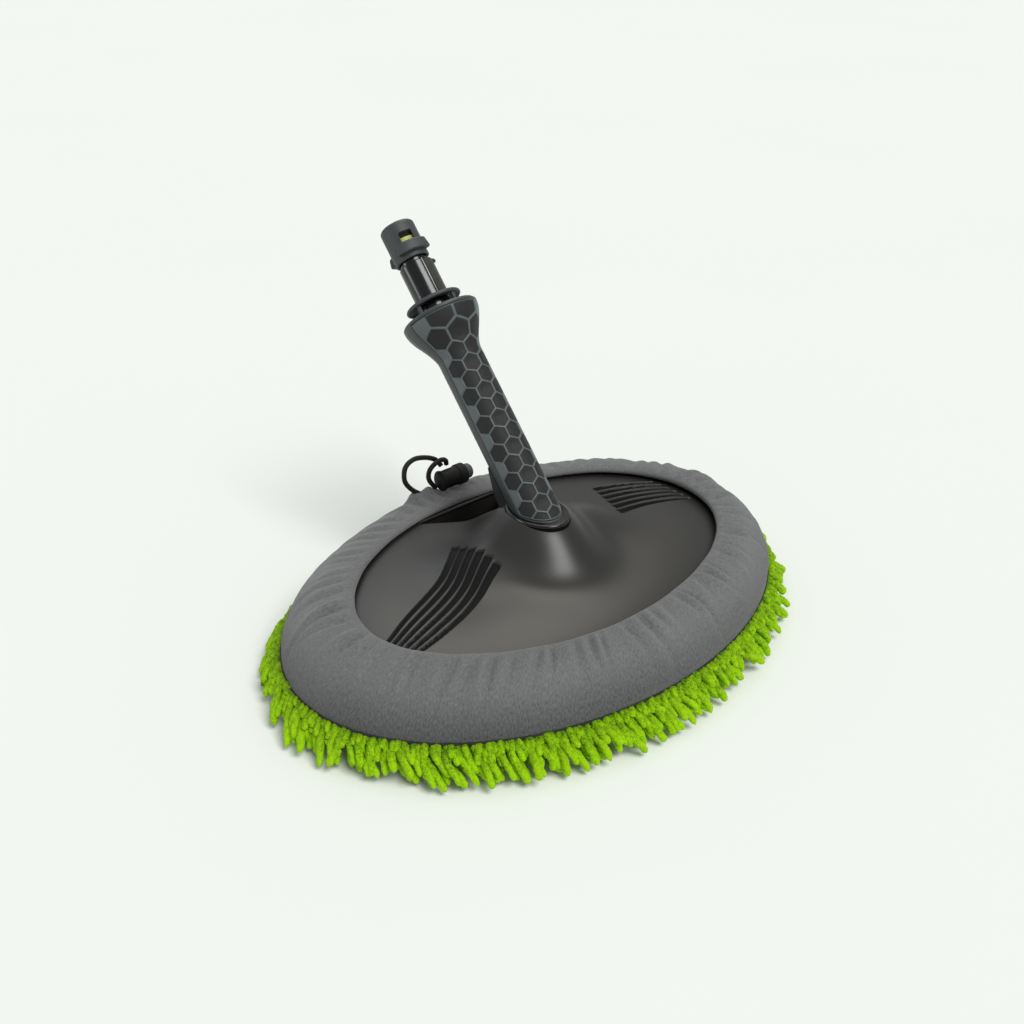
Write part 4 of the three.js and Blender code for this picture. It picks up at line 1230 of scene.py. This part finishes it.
# %% Lock body and button
HOLE_TILT = math.radians(53)  # of the cord hole, from upright
LOCK = (Matrix.Translation((-0.004, 0.091, 0.0618)) @ Matrix.Rotation(math.pi / 2, 4, "Y")
        @ Matrix.Rotation(math.pi / 2 - HOLE_TILT, 4, "Z"))
LOCK_RADIUS, LOCK_BORE, LOCK_LENGTH, STROKE = 0.0068, 0.0052, 0.02, 0.0035
HOLE_AT, HOLE_LONG, HOLE_HIGH = 0.0082, 0.008, 0.0038
PLUNGER_FROM, PLUNGER_PROUD = 0.0068, 0.0052


def cord_hole(at, long):
    """A round-ended slot right through the lock."""
    half_high, half_long = HOLE_HIGH / 2, long / 2
    corners = [(-half_high, at - half_long), (half_high, at - half_long), (half_high, at + half_long),
               (-half_high, at + half_long)]
    slot = rounded(corners, HOLE_HIGH * 0.44, steps=6)
    return lofted("slot", [[(x, y, z) for x, z in slot] for y in (-0.012, 0.012)], place=LOCK)


lock_body = turned(
    "lock_body",
    [(0.0004, 0), (LOCK_RADIUS - 0.0014, 0), (LOCK_RADIUS, 0.0012), (LOCK_RADIUS, 0.0022),
     (LOCK_RADIUS - 0.0007, 0.0028), (LOCK_RADIUS - 0.0007, 0.0136), (LOCK_RADIUS, 0.0142),
     (LOCK_RADIUS, LOCK_LENGTH - 0.0006), (LOCK_RADIUS - 0.0006, LOCK_LENGTH), (LOCK_BORE, LOCK_LENGTH),
     (LOCK_BORE, 0.0016), (0.0004, 0.0016)],
    0.0005, place=LOCK,
)
carve(lock_body, cord_hole(HOLE_AT, HOLE_LONG))
settle(crisp(lock_body), lock_plastic, "lock_plastic", "cord_lock_body")

button_radius, button_top = LOCK_BORE - GAP, LOCK_LENGTH + PLUNGER_PROUD
lock_button = turned(
    "lock_button_cap",
    [(button_radius, PLUNGER_FROM), (button_radius, button_top - 0.0012),
     (button_radius - 0.001, button_top), (0.0034, button_top), (0.0028, button_top - 0.0005)],
    0.0006, solid=True, place=LOCK,
)
carve(lock_button, cord_hole(HOLE_AT + STROKE, HOLE_LONG - 0.0006))
settle(crisp(lock_button), button_plastic, "button_plastic", "cord_lock_button", body="lock_button")

# %% [markdown]
# The spring behind the button is a coil of wire. It can't follow the button, so it stays on the main body
# with a mesh of its own.

# %% The lock's spring
COIL_RADIUS, WIRE, COIL_TURNS = 0.0036, 0.00025, 3
COIL_LOW, COIL_HIGH = 0.0022, PLUNGER_FROM - 0.0005
share = np.linspace(0, 1, COIL_TURNS * 24 + 1)[:, None]
wind = 2 * math.pi * COIL_TURNS * share
round_wire = np.linspace(0, 2 * math.pi, 8, endpoint=False)
out = COIL_RADIUS + WIRE * np.cos(round_wire)
up = COIL_LOW + (COIL_HIGH - COIL_LOW) * share + WIRE * np.sin(round_wire)
coil = np.stack([out * np.cos(wind), out * np.sin(wind), up], -1)
spring = lofted("lock_spring", coil, place=LOCK)
settle(spring, screw_steel, "screw_steel", "cord_lock_spring")
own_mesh(spring)

# %% [markdown]
# ## Carried-over pieces
# Seals, screws and the water path came from CAD in their final shape, so they only need a finish.

# %% Finishes on the CAD pieces that stay
STAYING = {
    seal_rubber: ["inlet_o_ring", "barrel_seal", "manifold_seal"],
    tube_plastic: ["water_tube", "water_elbow"],
    neck_plastic: ["spray_manifold"],
    screw_steel: [f"handle_screw_{k}" for k in (1, 2, 3)] + [f"manifold_screw_{k}" for k in (1, 2, 3, 4)],
}
for finish, names in STAYING.items():
    for name in names:
        for material_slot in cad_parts[name].material_slots:
            material_slot.material = finish.material
print(sum(len(names) for names in STAYING.values()), "CAD pieces have their finish")
